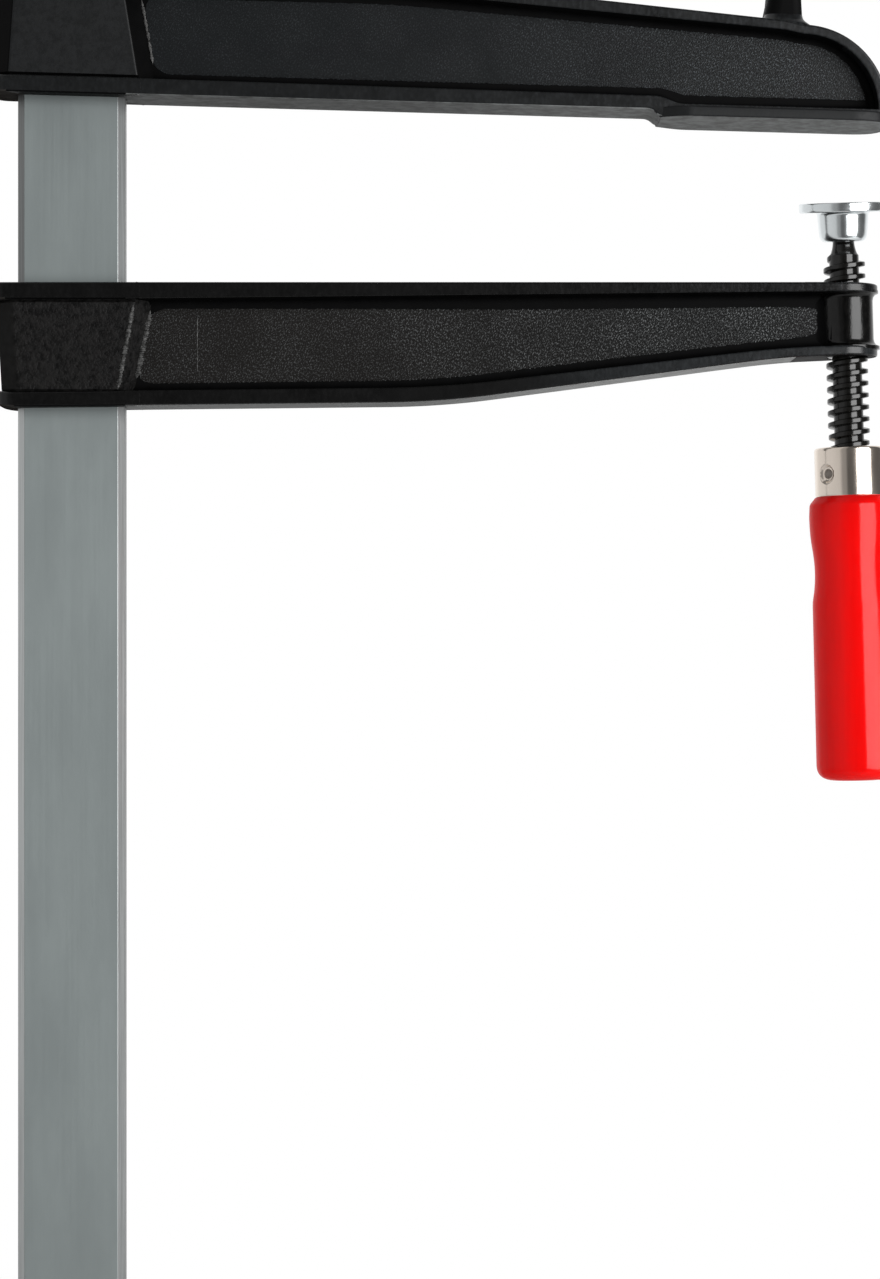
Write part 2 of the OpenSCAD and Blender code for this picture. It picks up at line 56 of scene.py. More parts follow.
BACK_EDGE = (-0.335, -0.31)
# Heights over which the bevels' painted reflection comes in, lower down the bar.
BEVEL_SHEEN_FROM = (-0.125, -0.065)
BROAD_SIDE = 0.95
DIE_STRETCH = (1.0, 1.0, 0.012)
FILM_STRETCH = (1.0, 1.0, 0.35)


def ease(start, corner, end, steps):
    """A parabola from start to end that leaves and arrives along the lines to the corner:
    (1 - t)^2 start + 2 t (1 - t) corner + t^2 end, for t from 0 to 1."""
    t = np.linspace(0, 1, steps)[:, None]
    start, corner, end = (np.asarray(p, float)[..., None, :] for p in (start, corner, end))
    return (1 - t) ** 2 * start + 2 * t * (1 - t) * corner + t ** 2 * end


EDGE_LEAD = 1.05
EDGE_SHARE = 0.47


def rounded(corners, cut, steps=4):
    """A closed polygon, or a stack of them, with every corner eased. Each parabola starts and ends
    the distance cut from its corner, or just short of half the edge where that is less. One more
    point beyond each of its ends keeps the shading of the straight edges flat."""
    corners = np.asarray(corners, float)
    cut = np.broadcast_to(np.asarray(cut, float), corners.shape[:-1])[..., None]
    back = np.roll(corners, 1, -2) - corners
    ahead = np.roll(corners, -1, -2) - corners
    start = back * np.minimum(cut / np.linalg.norm(back, axis=-1, keepdims=True), EDGE_SHARE)
    end = ahead * np.minimum(cut / np.linalg.norm(ahead, axis=-1, keepdims=True), EDGE_SHARE)
    curve = ease(corners + start, corners, corners + end, steps)
    before = (corners + EDGE_LEAD * start)[..., None, :]
    after = (corners + EDGE_LEAD * end)[..., None, :]
    curve = np.concatenate([before, curve, after], -2)
    return curve.reshape(*corners.shape[:-2], -1, corners.shape[-1])


def inset(loop, distance):
    """A closed loop moved inwards along its normals, which are square to the chord between each
    point's two neighbours."""
    chord = np.roll(loop, -1, 0) - np.roll(loop, 1, 0)
    area = np.sum(loop[:, 0] * np.roll(loop[:, 1], -1) - loop[:, 1] * np.roll(loop[:, 0], -1))
    normal = np.stack([-chord[:, 1], chord[:, 0]], -1) * np.sign(area)
    return loop + distance * normal / np.linalg.norm(normal, axis=1, keepdims=True)


def edge_levels(low, high, radius, steps=4):
    """Heights and insets of a slab with rounded edges: a quarter circle at each face, and one more
    loop inside it that keeps the face's shading flat."""
    a = np.linspace(0, math.pi / 2, steps)
    rise = np.concatenate([[0.0], 1 - np.cos(a)])
    shift = np.concatenate([[EDGE_LEAD], 1 - np.sin(a)])
    heights = np.concatenate([low + radius * rise, high - radius * rise[::-1]])
    return heights, radius * np.concatenate([shift, shift[::-1]])


def raised(loops, heights, upright):
    """Flat loops set at their heights: along Z, or along Y for a loop drawn in the side view."""
    level = np.broadcast_to(np.asarray(heights, float)[:, None], loops.shape[:2])
    order = (loops[..., 0], level, loops[..., 1]) if upright else (loops[..., 0], loops[..., 1], level)
    return np.stack(order, -1)


def skin(rings, ends="flat"):
    """A closed shell over a stack of closed loops. Quads join each loop to the next. The two ends get
    a flat face, or are poles already, or join each other as in a tube with a hole through it."""
    count, around = rings.shape[:2]
    index = np.arange(count * around).reshape(count, around)
    near = index if ends == "joined" else index[:-1]
    far = np.roll(index, -1, 0) if ends == "joined" else index[1:]
    quads = np.stack([near, np.roll(near, -1, 1), np.roll(far, -1, 1), far], -1).reshape(-1, 4)
    caps = [index[0, ::-1].tolist(), index[-1].tolist()] if ends == "flat" else []
    return rings.reshape(-1, 3), quads.tolist() + caps


def plate(loop, low, high, radius, upright=False):
    """A slab of constant outline with rounded edges."""
    heights, insets = edge_levels(low, high, radius)
    loops = np.stack([inset(loop, d) for d in insets])
    return skin(raised(loops, heights, upright))


MM = 0.001


def turned(points, turn):
    """Points turned by an angle in degrees about the Y axis, and brought from millimetres to metres."""
    c = math.cos(math.radians(turn))
    s = math.sin(math.radians(turn))
    return points @ np.array([[c, 0, -s], [0, 1, 0], [s, 0, c]]) * MM


MERGE_WITHIN = 2e-7
SLIVER = 1e-8


def make_piece(name, shells, finishes, body, turn=0.0, crease=35, rules=()):
    """One object from closed shells, in place of the solid of its name. A shell is its points, its
    faces and the number of its finish. Doubles at poles are merged and every shell's faces are turned
    outwards. A rule gives faces of one finish another one, where a test of their normals and middles
    says so."""
    points = np.concatenate([turned(shell[0], turn) for shell in shells])
    starts = np.cumsum([0] + [len(shell[0]) for shell in shells])
    faces = [[i + start for i in face] for shell, start in zip(shells, starts) for face in shell[1]]
    mesh = bpy.data.meshes.new(name)
    mesh.from_pydata(points.tolist(), [], faces)
    numbers = np.repeat([shell[2] for shell in shells], [len(shell[1]) for shell in shells])
    mesh.polygons.foreach_set("material_index", numbers.astype(np.int32))
    work = bmesh.new()
    work.from_mesh(mesh)
    bmesh.ops.remove_doubles(work, verts=work.verts, dist=MERGE_WITHIN)
    bmesh.ops.dissolve_degenerate(work, edges=work.edges, dist=SLIVER)
    bmesh.ops.recalc_face_normals(work, faces=work.faces)
    work.to_mesh(mesh)
    work.free()
    count = len(mesh.polygons)
    numbers = np.empty(count, np.int32)
    normals = np.empty((count, 3), np.float32)
    middles = np.empty((count, 3), np.float32)
    mesh.polygons.foreach_get("material_index", numbers)
    mesh.polygons.foreach_get("normal", normals.ravel())
    mesh.polygons.foreach_get("center", middles.ravel())
    for old, new, test in rules:
        numbers[(numbers == old) & test(normals, middles)] = new
    mesh.polygons.foreach_set("material_index", numbers)
    mesh.polygons.foreach_set("use_smooth", np.ones(count, bool))
    mesh.set_sharp_from_angle(angle=math.radians(crease))
    for finish in finishes:
        mesh.materials.append(finish)
    piece = bpy.data.objects.new(name, mesh)
    bpy.context.scene.collection.objects.link(piece)
    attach(piece, body)
    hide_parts(name)


class Wire:
    """One socket of a finish. Arithmetic on wires and numbers adds Math nodes, and node() adds any
    other kind: its settings first, then its sockets' values or links."""

    def __init__(self, tree, socket=None):
        self.tree = tree
        self.socket = socket

    def node(self, kind, settings, sockets, out=0):
        made = self.tree.nodes.new(kind)
        for name, value in settings.items():
            if name == "stops":
                self.set_stops(made.color_ramp.elements, value)
            else:
                setattr(made, name, value)
        for name, value in sockets.items():
            self.join(made.inputs[name], value)
        return Wire(self.tree, made.outputs[out])

    def set_stops(self, elements, stops):
        """Grey levels at their places along a ramp."""
        while len(elements) < len(stops):
            elements.new(1.0)
        for element, (place, level) in zip(elements, stops):
            element.position = place
            element.color = (level, level, level, 1.0)

    def join(self, socket, value):
        """Links a wire to a socket, or sets the socket to a plain value."""
        if isinstance(value, Wire):
            self.tree.links.new(value.socket, socket)
        else:
            socket.default_value = value

    def math(self, operation, first, second=0.0):
        return self.node("ShaderNodeMath", {"operation": operation}, {0: first, 1: second})

    def __add__(self, other):
        return self.math("ADD", self, other)

    def __radd__(self, other):
        return self.math("ADD", other, self)

    def __sub__(self, other):
        return self.math("SUBTRACT", self, other)

    def __rsub__(self, other):
        return self.math("SUBTRACT", other, self)

    def __mul__(self, other):
        return self.math("MULTIPLY", self, other)

    def __rmul__(self, other):
        return self.math("MULTIPLY", other, self)

    def place(self):
        """Object coordinates, in metres."""
        return self.node("ShaderNodeTexCoord", {}, {}, out="Object")

    def axis(self, place, number):
        """One of the three parts of a place or a direction: 0 for X, 1 for Y, 2 for Z."""
        return self.node("ShaderNodeSeparateXYZ", {}, {0: place}, out=number)

    def scaled(self, colour, factor):
        """A colour times a factor."""
        return self.node("ShaderNodeVectorMath", {"operation": "SCALE"}, {0: colour, "Scale": factor})

    def stretched(self, place, scale):
        """Coordinates times a scale along each axis, which draws a pattern out where it is below 1."""
        return self.node("ShaderNodeMapping", {}, {"Vector": place, "Scale": scale})

    def slanted(self, place, lean, length):
        """Coordinates in which a pattern is drawn out to a length along a line that leans from Z to X."""
        sockets = {"Vector": place, "Rotation": (0.0, math.radians(lean), 0.0), "Scale": (1.0, 1.0, length)}
        return self.node("ShaderNodeMapping", {"vector_type": "TEXTURE"}, sockets)

    def noise(self, place, scale, detail=2.0, rough=0.5):
        """Soft random noise between 0 and 1."""
        sockets = {"Vector": place, "Scale": scale, "Detail": detail, "Roughness": rough}
        return self.node("ShaderNodeTexNoise", {}, sockets)

    def step(self, value, low, high, to_low=0.0, to_high=1.0):
        """A smooth step of a value between two limits."""
        sockets = {"Value": value, "From Min": low, "From Max": high, "To Min": to_low, "To Max": to_high}
        return self.node("ShaderNodeMapRange", {"interpolation_type": "SMOOTHSTEP"}, sockets)

    def blend(self, factor, first, second):
        """A colour between two, by a factor."""
        sockets = {0: factor, 6: (*first, 1.0) if isinstance(first, tuple) else first,
                   7: (*second, 1.0) if isinstance(second, tuple) else second}
        return self.node("ShaderNodeMix", {"data_type": "RGBA"}, sockets, out=2)

    def bump(self, height, strength, distance):
        """A normal that leans as on a surface raised by the height."""
        return self.node("ShaderNodeBump", {}, {"Strength": strength, "Distance": distance, "Height": height})


def new_finish(name, **constants):
    """A material with its constant sockets set. Returns it, its shader's sockets and a first wire."""
    material = bpy.data.materials.new(name)
    material.use_nodes = True
    tree = material.node_tree
    sockets = tree.nodes["Principled BSDF"].inputs
    for socket, value in constants.items():
        sockets[socket.replace("_", " ")].default_value = value
    return material, sockets, Wire(tree)


drawn_steel, shader, wire = new_finish("drawn_steel", Metallic=1.0)
place = wire.place()
die_lines = wire.noise(wire.stretched(place, DIE_STRETCH), 1100.0, 3.0, 0.6)
film = wire.noise(wire.stretched(place, FILM_STRETCH), 38.0, 4.0, 0.6)
shade = wire.step(film, 0.3, 0.75) * 0.7 + die_lines * 0.3
wire.join(shader["Base Color"], wire.blend(shade, (0.262, 0.292, 0.292), (0.315, 0.35, 0.349)))
wire.join(shader["Roughness"], 0.56 + 0.12 * die_lines)
wire.join(shader["Normal"], wire.bump(die_lines, 0.05, 0.0002))

# The bevels have no film. Their tone holds a painted reflection: both are painted a little lighter low on the
# bar, and the back one darker above and far lighter below.
bevel_steel, shader, wire = new_finish("bevel_steel", Metallic=1.0)
place = wire.place()
die_lines = wire.noise(wire.stretched(place, DIE_STRETCH), 1600.0, 3.0, 0.6)
lower_down = wire.step(wire.axis(place, 2), *BEVEL_SHEEN_FROM, 1.0, 0.0)
back_edge = wire.step(wire.axis(place, 0), *BACK_EDGE, 1.0, 0.0)
painted_sheen = 1.15 + 0.03 * lower_down + back_edge * (1.32 * lower_down - 0.28)
tone = wire.blend(die_lines, (0.14, 0.145, 0.145), (0.32, 0.33, 0.33))
wire.join(shader["Base Color"], wire.scaled(tone, painted_sheen))
wire.join(shader["Roughness"], 0.4 + 0.1 * die_lines)


def bar_loop(clear, cut, steps):
    """The bar's section, an oblong with four bevels, grown by a clearance, as a closed loop."""
    back = BAR_BACK - clear
    front = BAR_FRONT + clear
    half = BAR_HALF + clear
    flat = half - BAR_BEVEL
    corners = [(back, -flat), (back + BAR_BEVEL, -half), (front - BAR_BEVEL, -half), (front, -flat),
               (front, flat), (front - BAR_BEVEL, half), (back + BAR_BEVEL, half), (back, flat)]
    return rounded(corners, cut, steps)


def off_broad_sides(normals, middles):
    """Faces that don't lie in a broad side of a flat piece, which looks along Y."""
    return np.abs(normals[:, 1]) < BROAD_SIDE


bar_shell = plate(bar_loop(0.0, BEVEL_ROUND, 4), BAR_FOOT, BAR_TOP, BAR_END_ROUND)
make_piece("bar", [(*bar_shell, 0)], [drawn_steel, bevel_steel], "frame",
           rules=[(0, 1, off_broad_sides)])


# The fixed arm is an iron casting, blackened all over: an I-section whose rims run round a rough
# web, a boss that grips the bar's end, a jaw pad under the nose and a lug on its back.
# It is drawn square to its own throat side and then turned, because it droops towards its tip.
TOE_IN = 1.6
RIM_HALF = 15.0
RIM_SUNK = 0.4
RIM_CUTS = [1.0, 1.0, 0.6, 0.1, 0.1, 0.6]
BOSS_HALF = 14.0
BOSS_SLOPE = 6.4
BOSS_GROOVE = 1.3
BOSS_CUTS = [1.0, 0.8, 0.7, 0.3, 0.3, 0.7, 0.8, 1.0]
HEEL_CHAMFER = (7.0, 6.0)
HEEL_ROUND = 7.5
HEEL_EDGE = 1.2
HEEL_FRONT = -293.0
LONG_HEEL = -356.8
SHORT_HEEL = -353.2
WEB_HALF = 4.8
WEB_EDGE = 0.1
PANEL_HALF = 5.0
PANEL_EDGE = 0.15
PANEL_SPACING = 0.8
PANEL_LOW = 13.5
PANEL_HIGH = 45.4
PANEL_FLOOR = 10.8
THROAT_RIM = (3.3, 10.2)
JAW_RIM = (0.4, 5.9)
BACK_RIM = (55.3, 49.3)
BACK_BEND = -190.0
BACK_CUTS = [3.0, 14.0]
THROAT_CUTS = [2.5, 2.5]
STRIP_START = -299.0
NOSE_X = -17.7
NOSE_Z = 4.3
NOSE_R = 36.0
NOSE_RIM = 4.0
NOSE_OVAL = 1.3
JAW_BACK = -77.0
JAW_FRONT = 19.2
JAW_HALF = 20.49
JAW_NECK = 14.0
JAW_FLARE = 10.0
JAW_CORNER = 15.0
JAW_THICK = 4.4
LUG_X = -25.8
FILLET = 3.6
SLOT_CLEAR = 0.25
OVERLAP = 0.02
BURR_STEPS = 110
DOWN = -0.6
STRAIGHT_DOWN = -0.85
BAR_SHADE = (-0.3221, 0.0226)
HEEL_SHADE = -0.33
THROAT_LIT_TOP = 0.02
BOSS_SHADE = -0.2
RIM, BOSS, WEB, UNDER, PAINTED_SHADE, BURR_HIGHLIGHT, HEEL = range(7)


def eased_path(corners, cuts, steps=7):
    """An open path with its inner corners eased as in rounded()."""
    whole = rounded(corners, [0.0, *cuts, 0.0], steps)
    return whole[steps + 1:len(whole) - steps - 1]


def rim_rings(outer, inner):
    """Loops of a rim along its path. Each stands on the line from the path's outer point to its
    inner point: a bar across the arm with round edges."""
    across = inner - outer
    depth = np.linalg.norm(across, axis=1)
    sunk = depth + RIM_SUNK
    down = np.stack([0 * depth, 0 * depth, depth, sunk, sunk, depth], -1)
    wide = np.array([-RIM_HALF, RIM_HALF, RIM_HALF, WEB_HALF, -WEB_HALF, -RIM_HALF])
    corners = np.stack([down, np.broadcast_to(wide, down.shape)], -1)
    return along_rim(outer, inner, rounded(corners, RIM_CUTS))


def fillet_rings(outer, inner, side):
    """Loops of the fillet between a rim and the web, on one side of the arm: a concave parabola from
    the rim's inner wall down to the web, closed below their surfaces."""
    depth = np.linalg.norm(inner - outer, axis=1)
    web = np.full_like(depth, WEB_HALF)
    curve = ease(np.stack([depth + 0.2, web + FILLET], -1), np.stack([depth + 0.3, web], -1),
                 np.stack([depth + FILLET + 0.6, web + 0.02], -1), 9)
    sunk = np.stack([np.stack([depth + FILLET, web - 1], -1), np.stack([depth - 1, web - 1], -1),
                     np.stack([depth - 1, web + FILLET], -1)], 1)
    loops = np.concatenate([curve, sunk], 1)
    return along_rim(outer, inner, loops * np.array([1, side]))


def along_rim(outer, inner, loops):
    """Loops of depth and width set up along a rim's path."""
    ways = (inner - outer) / np.linalg.norm(inner - outer, axis=1, keepdims=True)
    spots = outer[:, None] + ways[:, None] * loops[..., :1]
    return np.stack([spots[..., 0], loops[..., 1], spots[..., 1]], -1)


def rough_edge(loop, depth):
    """A loop resampled at an even spacing, with its points moved in and out by a sum of three sines of
    their number, like the edge of a cast skin."""
    ring = np.concatenate([loop, loop[:1]])
    run = np.concatenate([[0.0], np.cumsum(np.linalg.norm(np.diff(ring, axis=0), axis=1))])
    at = np.linspace(0, run[-1], int(run[-1] / PANEL_SPACING), endpoint=False)
    even = np.stack([np.interp(at, run, ring[:, 0]), np.interp(at, run, ring[:, 1])], -1)
    k = np.arange(len(even))
    wander = np.sin(2.4 * k) + np.sin(3.9 * k + 1) + np.sin(0.7 * k + 2)
    return inset(even, depth * wander[:, None] / 3)


def burr(start, end, radius):
    """A raised line left by the mould between two points: round in section, thin at both ends, with a
    radius that wanders along it by a sum of sines."""
    t = np.linspace(0, 1, BURR_STEPS)[:, None]
    k = np.arange(BURR_STEPS)
    wander = 0.7 + 0.14 * np.sin(2.1 * k) + 0.12 * np.sin(0.9 * k + 1) + 0.16 * np.sin(0.31 * k + 2)
    size = radius * wander * np.clip(12 * t[:, 0], 0.1, 1) * np.clip(12 * (1 - t[:, 0]), 0.1, 1)
    a = np.linspace(0, 2 * math.pi, 10, endpoint=False)
    section = np.stack([np.cos(a), np.sin(a), 0 * a], -1)
    line = np.asarray(start) * (1 - t[:, None]) + np.asarray(end) * t[:, None]
    return skin(line + size[:, None, None] * section)


def collar(outer_loops, outer_heights, inner_low, inner_high):
    """A shell round a hole: outer loops from low to high, then the hole's loop at both ends."""
    loops = np.concatenate([outer_loops, inner_high[None], inner_low[None]])
    heights = np.concatenate([outer_heights, [outer_heights[-1], outer_heights[0]]])
    return skin(raised(loops, heights, False), "joined")


def slot_at(height, turn):
    """The slot for the bar as the turned arm sees it at one of its own heights."""
    loop = bar_loop(SLOT_CLEAR, 0.1, 3)
    a = math.radians(turn)
    return np.stack([(loop[:, 0] - height * math.sin(a)) / math.cos(a), loop[:, 1]], -1)


def no_rise(x):
    """No rise anywhere along X."""
    return 0 * x


def lifted(shell, rise):
    """A shell whose points are raised by a function of their X."""
    points, faces = shell
    x = points[:, 0]
    return points + np.stack([0 * x, 0 * x, rise(x)], -1), faces


def flange_heel(back, low, high, turn, rise=no_rise):
    """The rim's end round the bar: a rounded oblong with the slot through it, raised by a function
    of X."""
    half = RIM_HALF + OVERLAP
    corners = [(back, -half), (HEEL_FRONT, -half), (HEEL_FRONT, half), (back, half)]
    loop = rounded(corners, [HEEL_ROUND, OVERLAP, OVERLAP, HEEL_ROUND], 8)
    heights, insets = edge_levels(low, high, HEEL_EDGE)
    loops = np.stack([inset(loop, d) for d in insets])
    return lifted(collar(loops, heights, slot_at(low, turn), slot_at(high, turn)), rise)


def boss(heights, heel, front, turn):
    """The boss round the bar between the rims, with a chamfer at the heel and a slope down to the web.
    Heel and front edge lean, so both are given at the first and the last of six heights. A groove
    between the outer heights parts it from each rim."""
    heights = np.array(heights)
    t = (heights - heights[0]) / (heights[-1] - heights[0])
    back = heel[0] + (heel[1] - heel[0]) * t
    edge = front[0] + (front[1] - front[0]) * t
    wide = BOSS_HALF - BOSS_GROOVE * np.array([1, 1, 0, 0, 1, 1])
    side = back + HEEL_CHAMFER[0]
    narrow = wide - HEEL_CHAMFER[1]
    slope = edge + BOSS_SLOPE
    foot = np.full_like(t, WEB_HALF - 0.3)
    corners = np.stack([np.stack(p, -1) for p in (
        (back, -narrow), (side, -wide), (edge, -wide), (slope, -foot),
        (slope, foot), (edge, wide), (side, wide), (back, narrow))], 1)
    loops = rounded(corners, BOSS_CUTS, 3)
    return collar(loops, heights, slot_at(heights[0], turn), slot_at(heights[-1], turn))


def smooth_black(name, tones, roughness, change=(-0.16, 0.02), grit=1.0):
    """The black coat on a smooth part of a casting: slightly cloudy, with a fine grit that is stronger
    at the arm's tip. Its tone goes from the first to the second where X runs through the change."""
    material, shader, wire = new_finish(name, Specular_IOR_Level=0.32)
    place = wire.place()
    along = wire.axis(place, 0)
    cloud = wire.noise(place, 70.0, 3.0, 0.6)
    grain = wire.noise(wire.stretched(place, (1.0, 1.0, 0.5)), 600.0, 3.0, 0.65)
    strong = wire.step(along, -0.2, -0.02, 0.4 * grit, 1.2 * grit)
    shade = 0.55 + strong * (wire.step(grain, 0.4, 0.7) * 1.8 - 0.55) + cloud * 0.6
    tone = wire.blend(wire.step(along, *change), *tones)
    wire.join(shader["Base Color"], wire.scaled(tone, shade))
    wire.join(shader["Roughness"], roughness + 0.16 * (cloud - 0.5))
    wire.join(shader["Normal"], wire.bump(grain * strong, 0.2, 0.0003))
    return material


def sandy_black(name, calm, coarse, least, tones, painted_glint_tone, relief, gloss):
    """The black coat over a skin as cast in sand: grains in relief, and painted glints, for which the
    highest grains are painted in a light tone. The grains and their glints grow from the least strength
    to the full one between two places along the arm, and the ground between them goes from the first
    tone to the second."""
    material, shader, wire = new_finish(name, Specular_IOR_Level=gloss)
    place = wire.place()
    growth = wire.step(wire.axis(place, 0), calm, coarse)
    strong = least + (1 - least) * growth
    cloud = wire.noise(place, 45.0, 3.0, 0.6)
    sand = wire.noise(wire.slanted(place, 28.0, 1.7), 2000.0, 2.0, 0.6)
    # A painted glint: the highest grains are painted light, more strongly towards the tip.
    painted_glints = wire.step(sand, 0.51, 0.69) * strong * wire.step(cloud, 0.35, 0.65, 0.7, 1.2)
    ground = wire.blend(growth, *tones)
    wire.join(shader["Base Color"], wire.blend(painted_glints, ground, painted_glint_tone))
    wire.join(shader["Roughness"], 0.42 + 0.2 * (cloud - 0.5))
    wire.join(shader["Normal"], wire.bump(sand * strong, 1.0, relief))
    return material


def boss_black(name, tone, spread, relief, gloss):
    """The matt black coat on a boss or a jaw, over a slightly rough skin with patches of a tone that
    varies by a spread."""
    material, shader, wire = new_finish(name, Specular_IOR_Level=gloss)
    place = wire.place()
    patch = wire.step(wire.noise(place, 330.0, 4.0, 0.7), 0.32, 0.68)
    sand = wire.noise(place, 800.0, 2.0, 0.6)
    low = tuple((1 - spread) * c for c in tone)
    high = tuple((1 + spread) * c for c in tone)
    wire.join(shader["Base Color"], wire.blend(patch, low, high))
    wire.join(shader["Roughness"], 0.48 + 0.14 * patch)
    wire.join(shader["Normal"], wire.bump(sand + patch * 0.6, 1.0, relief))
    return material


def dull_black(name, dark, light, gloss, fineness=160.0, gain=1.0):
    """A coat with little shine, mottled between two tones. Both change by a gain towards the tip."""
    material, shader, wire = new_finish(name, Specular_IOR_Level=gloss)
    place = wire.place()
    cloud = wire.noise(place, fineness, 4.0, 0.65)
    tone = wire.blend(wire.step(cloud, 0.3, 0.7), dark, light)
    change = wire.step(wire.axis(place, 0), -0.2, -0.08, 1.0, gain)
    wire.join(shader["Base Color"], wire.scaled(tone, change))
    wire.join(shader["Roughness"], 0.5 + 0.2 * cloud)
    return material


rim_black = smooth_black("rim_black", [(0.0078, 0.0085, 0.009), (0.0068, 0.0075, 0.0082)], 0.3, grit=0.7)
fixed_boss_black = boss_black("fixed_boss_black", (0.0043, 0.0049, 0.0054), spread=0.2, relief=0.00004,
                              gloss=0.25)
fixed_web_black = sandy_black("fixed_web_black", calm=-0.18, coarse=-0.01, least=0.26,
                              tones=[(0.0055, 0.0064, 0.0071), (0.0018, 0.0022, 0.0025)],
                              painted_glint_tone=(0.057, 0.065, 0.071), relief=0.00019, gloss=0.17)
# A near-black painted shade for recesses and for faces that lie in shade: the fillets, the web round the
# panels, the lug's top, the boss's sloping edges, the web's end at the barrel, and faces that look down round
# the bar or under a rim.
painted_shade_black = dull_black("painted_shade_black", (0.0006, 0.0006, 0.0007), (0.0012, 0.0012, 0.0013), gloss=0.06)
# A light grey painted light for faces that look down, as if lit from below, lighter towards the tip.
underside_painted_light = dull_black("underside_painted_light", (0.06, 0.061, 0.06), (0.12, 0.125, 0.124), gloss=0.02, gain=1.7)
# A dim grey painted shade for faces that look down behind the bar, darker than the painted light on the other
# undersides.
heel_painted_shade = dull_black("heel_painted_shade", (0.018, 0.017, 0.016), (0.034, 0.032, 0.03), gloss=0.0)
# The cast burrs are painted a mottled light grey: a painted highlight along the burrs, which catch the lamp.
burr_painted_highlight = dull_black("burr_painted_highlight", (0.006, 0.006, 0.006), (0.105, 0.105, 0.103), gloss=0.2, fineness=650.0)


def nose_arc(start, wide, high):
    """The nose's quarter of an oval, from an angle in radians up to its top."""
    a = np.linspace(start, math.pi / 2, 40)
    return np.stack([NOSE_X + wide * np.cos(a), NOSE_Z + high * np.sin(a)], -1)


def back_path(nose, lug, bend, end):
    """A line along the arm's back: its heights at the nose, the lug and the bend, then its end point."""
    return eased_path([(NOSE_X, nose), (LUG_X, lug), (BACK_BEND, bend), end], BACK_CUTS)


nose_inner = NOSE_R - NOSE_RIM
rim_outer = np.concatenate([
    eased_path([(STRIP_START, THROAT_RIM[0]), (-80.3, THROAT_RIM[0]), (JAW_BACK, JAW_RIM[0]),
                (18.3, JAW_RIM[0])], THROAT_CUTS),
    nose_arc(0.0, NOSE_R, NOSE_R),
    back_path(40.3, 41.9, BACK_RIM[0], (STRIP_START, BACK_RIM[0]))[1:]])
rim_inner = np.concatenate([
    eased_path([(STRIP_START, THROAT_RIM[1]), (JAW_BACK, 8.9), (-68.5, JAW_RIM[1]),
                (14.2, JAW_RIM[1])], THROAT_CUTS),
    nose_arc(math.radians(2.87), nose_inner, nose_inner),
    back_path(36.3, 37.9, BACK_RIM[1], (STRIP_START, BACK_RIM[1]))[1:]])
inward = rim_inner - rim_outer
web_loop = rim_outer + 2.0 * inward / np.linalg.norm(inward, axis=1, keepdims=True)
panel_r = nose_inner - FILLET - 0.2
panel_tall = panel_r + NOSE_OVAL
panel_nose = nose_arc(math.asin((PANEL_FLOOR - NOSE_Z) / panel_tall), panel_r, panel_tall)
panel_loop = np.concatenate([
    ease((-289.2, 20.0), (-287.8, PANEL_LOW), (-280.0, PANEL_LOW), 8),
    eased_path([(-280.0, PANEL_LOW), (-75.0, PANEL_LOW), (-66.5, PANEL_FLOOR), panel_nose[0]],
               THROAT_CUTS)[1:-1],
    panel_nose,
    back_path(33.8, 35.2, 45.6, (-288.0, PANEL_HIGH))[1:-1],
    ease((-288.0, PANEL_HIGH), (-293.4, PANEL_HIGH), (-292.6, 40.0), 6)])
jaw_loop = rounded([(JAW_BACK, JAW_NECK), (JAW_BACK, -JAW_NECK), (JAW_BACK + JAW_FLARE, -JAW_HALF),
                    (JAW_FRONT, -JAW_HALF), (JAW_FRONT, JAW_HALF), (JAW_BACK + JAW_FLARE, JAW_HALF)],
                   [0.3, 0.3, 4.0, JAW_CORNER, JAW_CORNER, 4.0], 9)
lug_heights = np.array([38.8, 40.0, 40.8, 41.6, 42.4, 43.4, 45.0, 50.5, 58.6, 59.5, 60.0])
lug_right = np.array([12.6, 11.6, 10.6, 9.6, 8.8, 8.2, 7.8, 7.4, 6.95, 6.5, 5.7])
lug_left = np.array([12.6, 11.6, 10.8, 10.0, 9.2, 8.4, 7.8, 6.8, 6.3, 5.9, 5.1])
lug_y = np.array([15.0, 14.9, 14.6, 14.0, 13.2, 12.3, 11.7, 11.2, 10.8, 10.4, 9.6])
lug_corners = np.stack([np.stack([-lug_left, -lug_y], -1), np.stack([lug_right, -lug_y], -1),
                        np.stack([lug_right, lug_y], -1), np.stack([-lug_left, lug_y], -1)], 1)
lug_loops = rounded(lug_corners + np.array([LUG_X, 0.0]), [6.0, 4.0, 4.0, 6.0], 6)
slope_y = WEB_HALF + 0.2
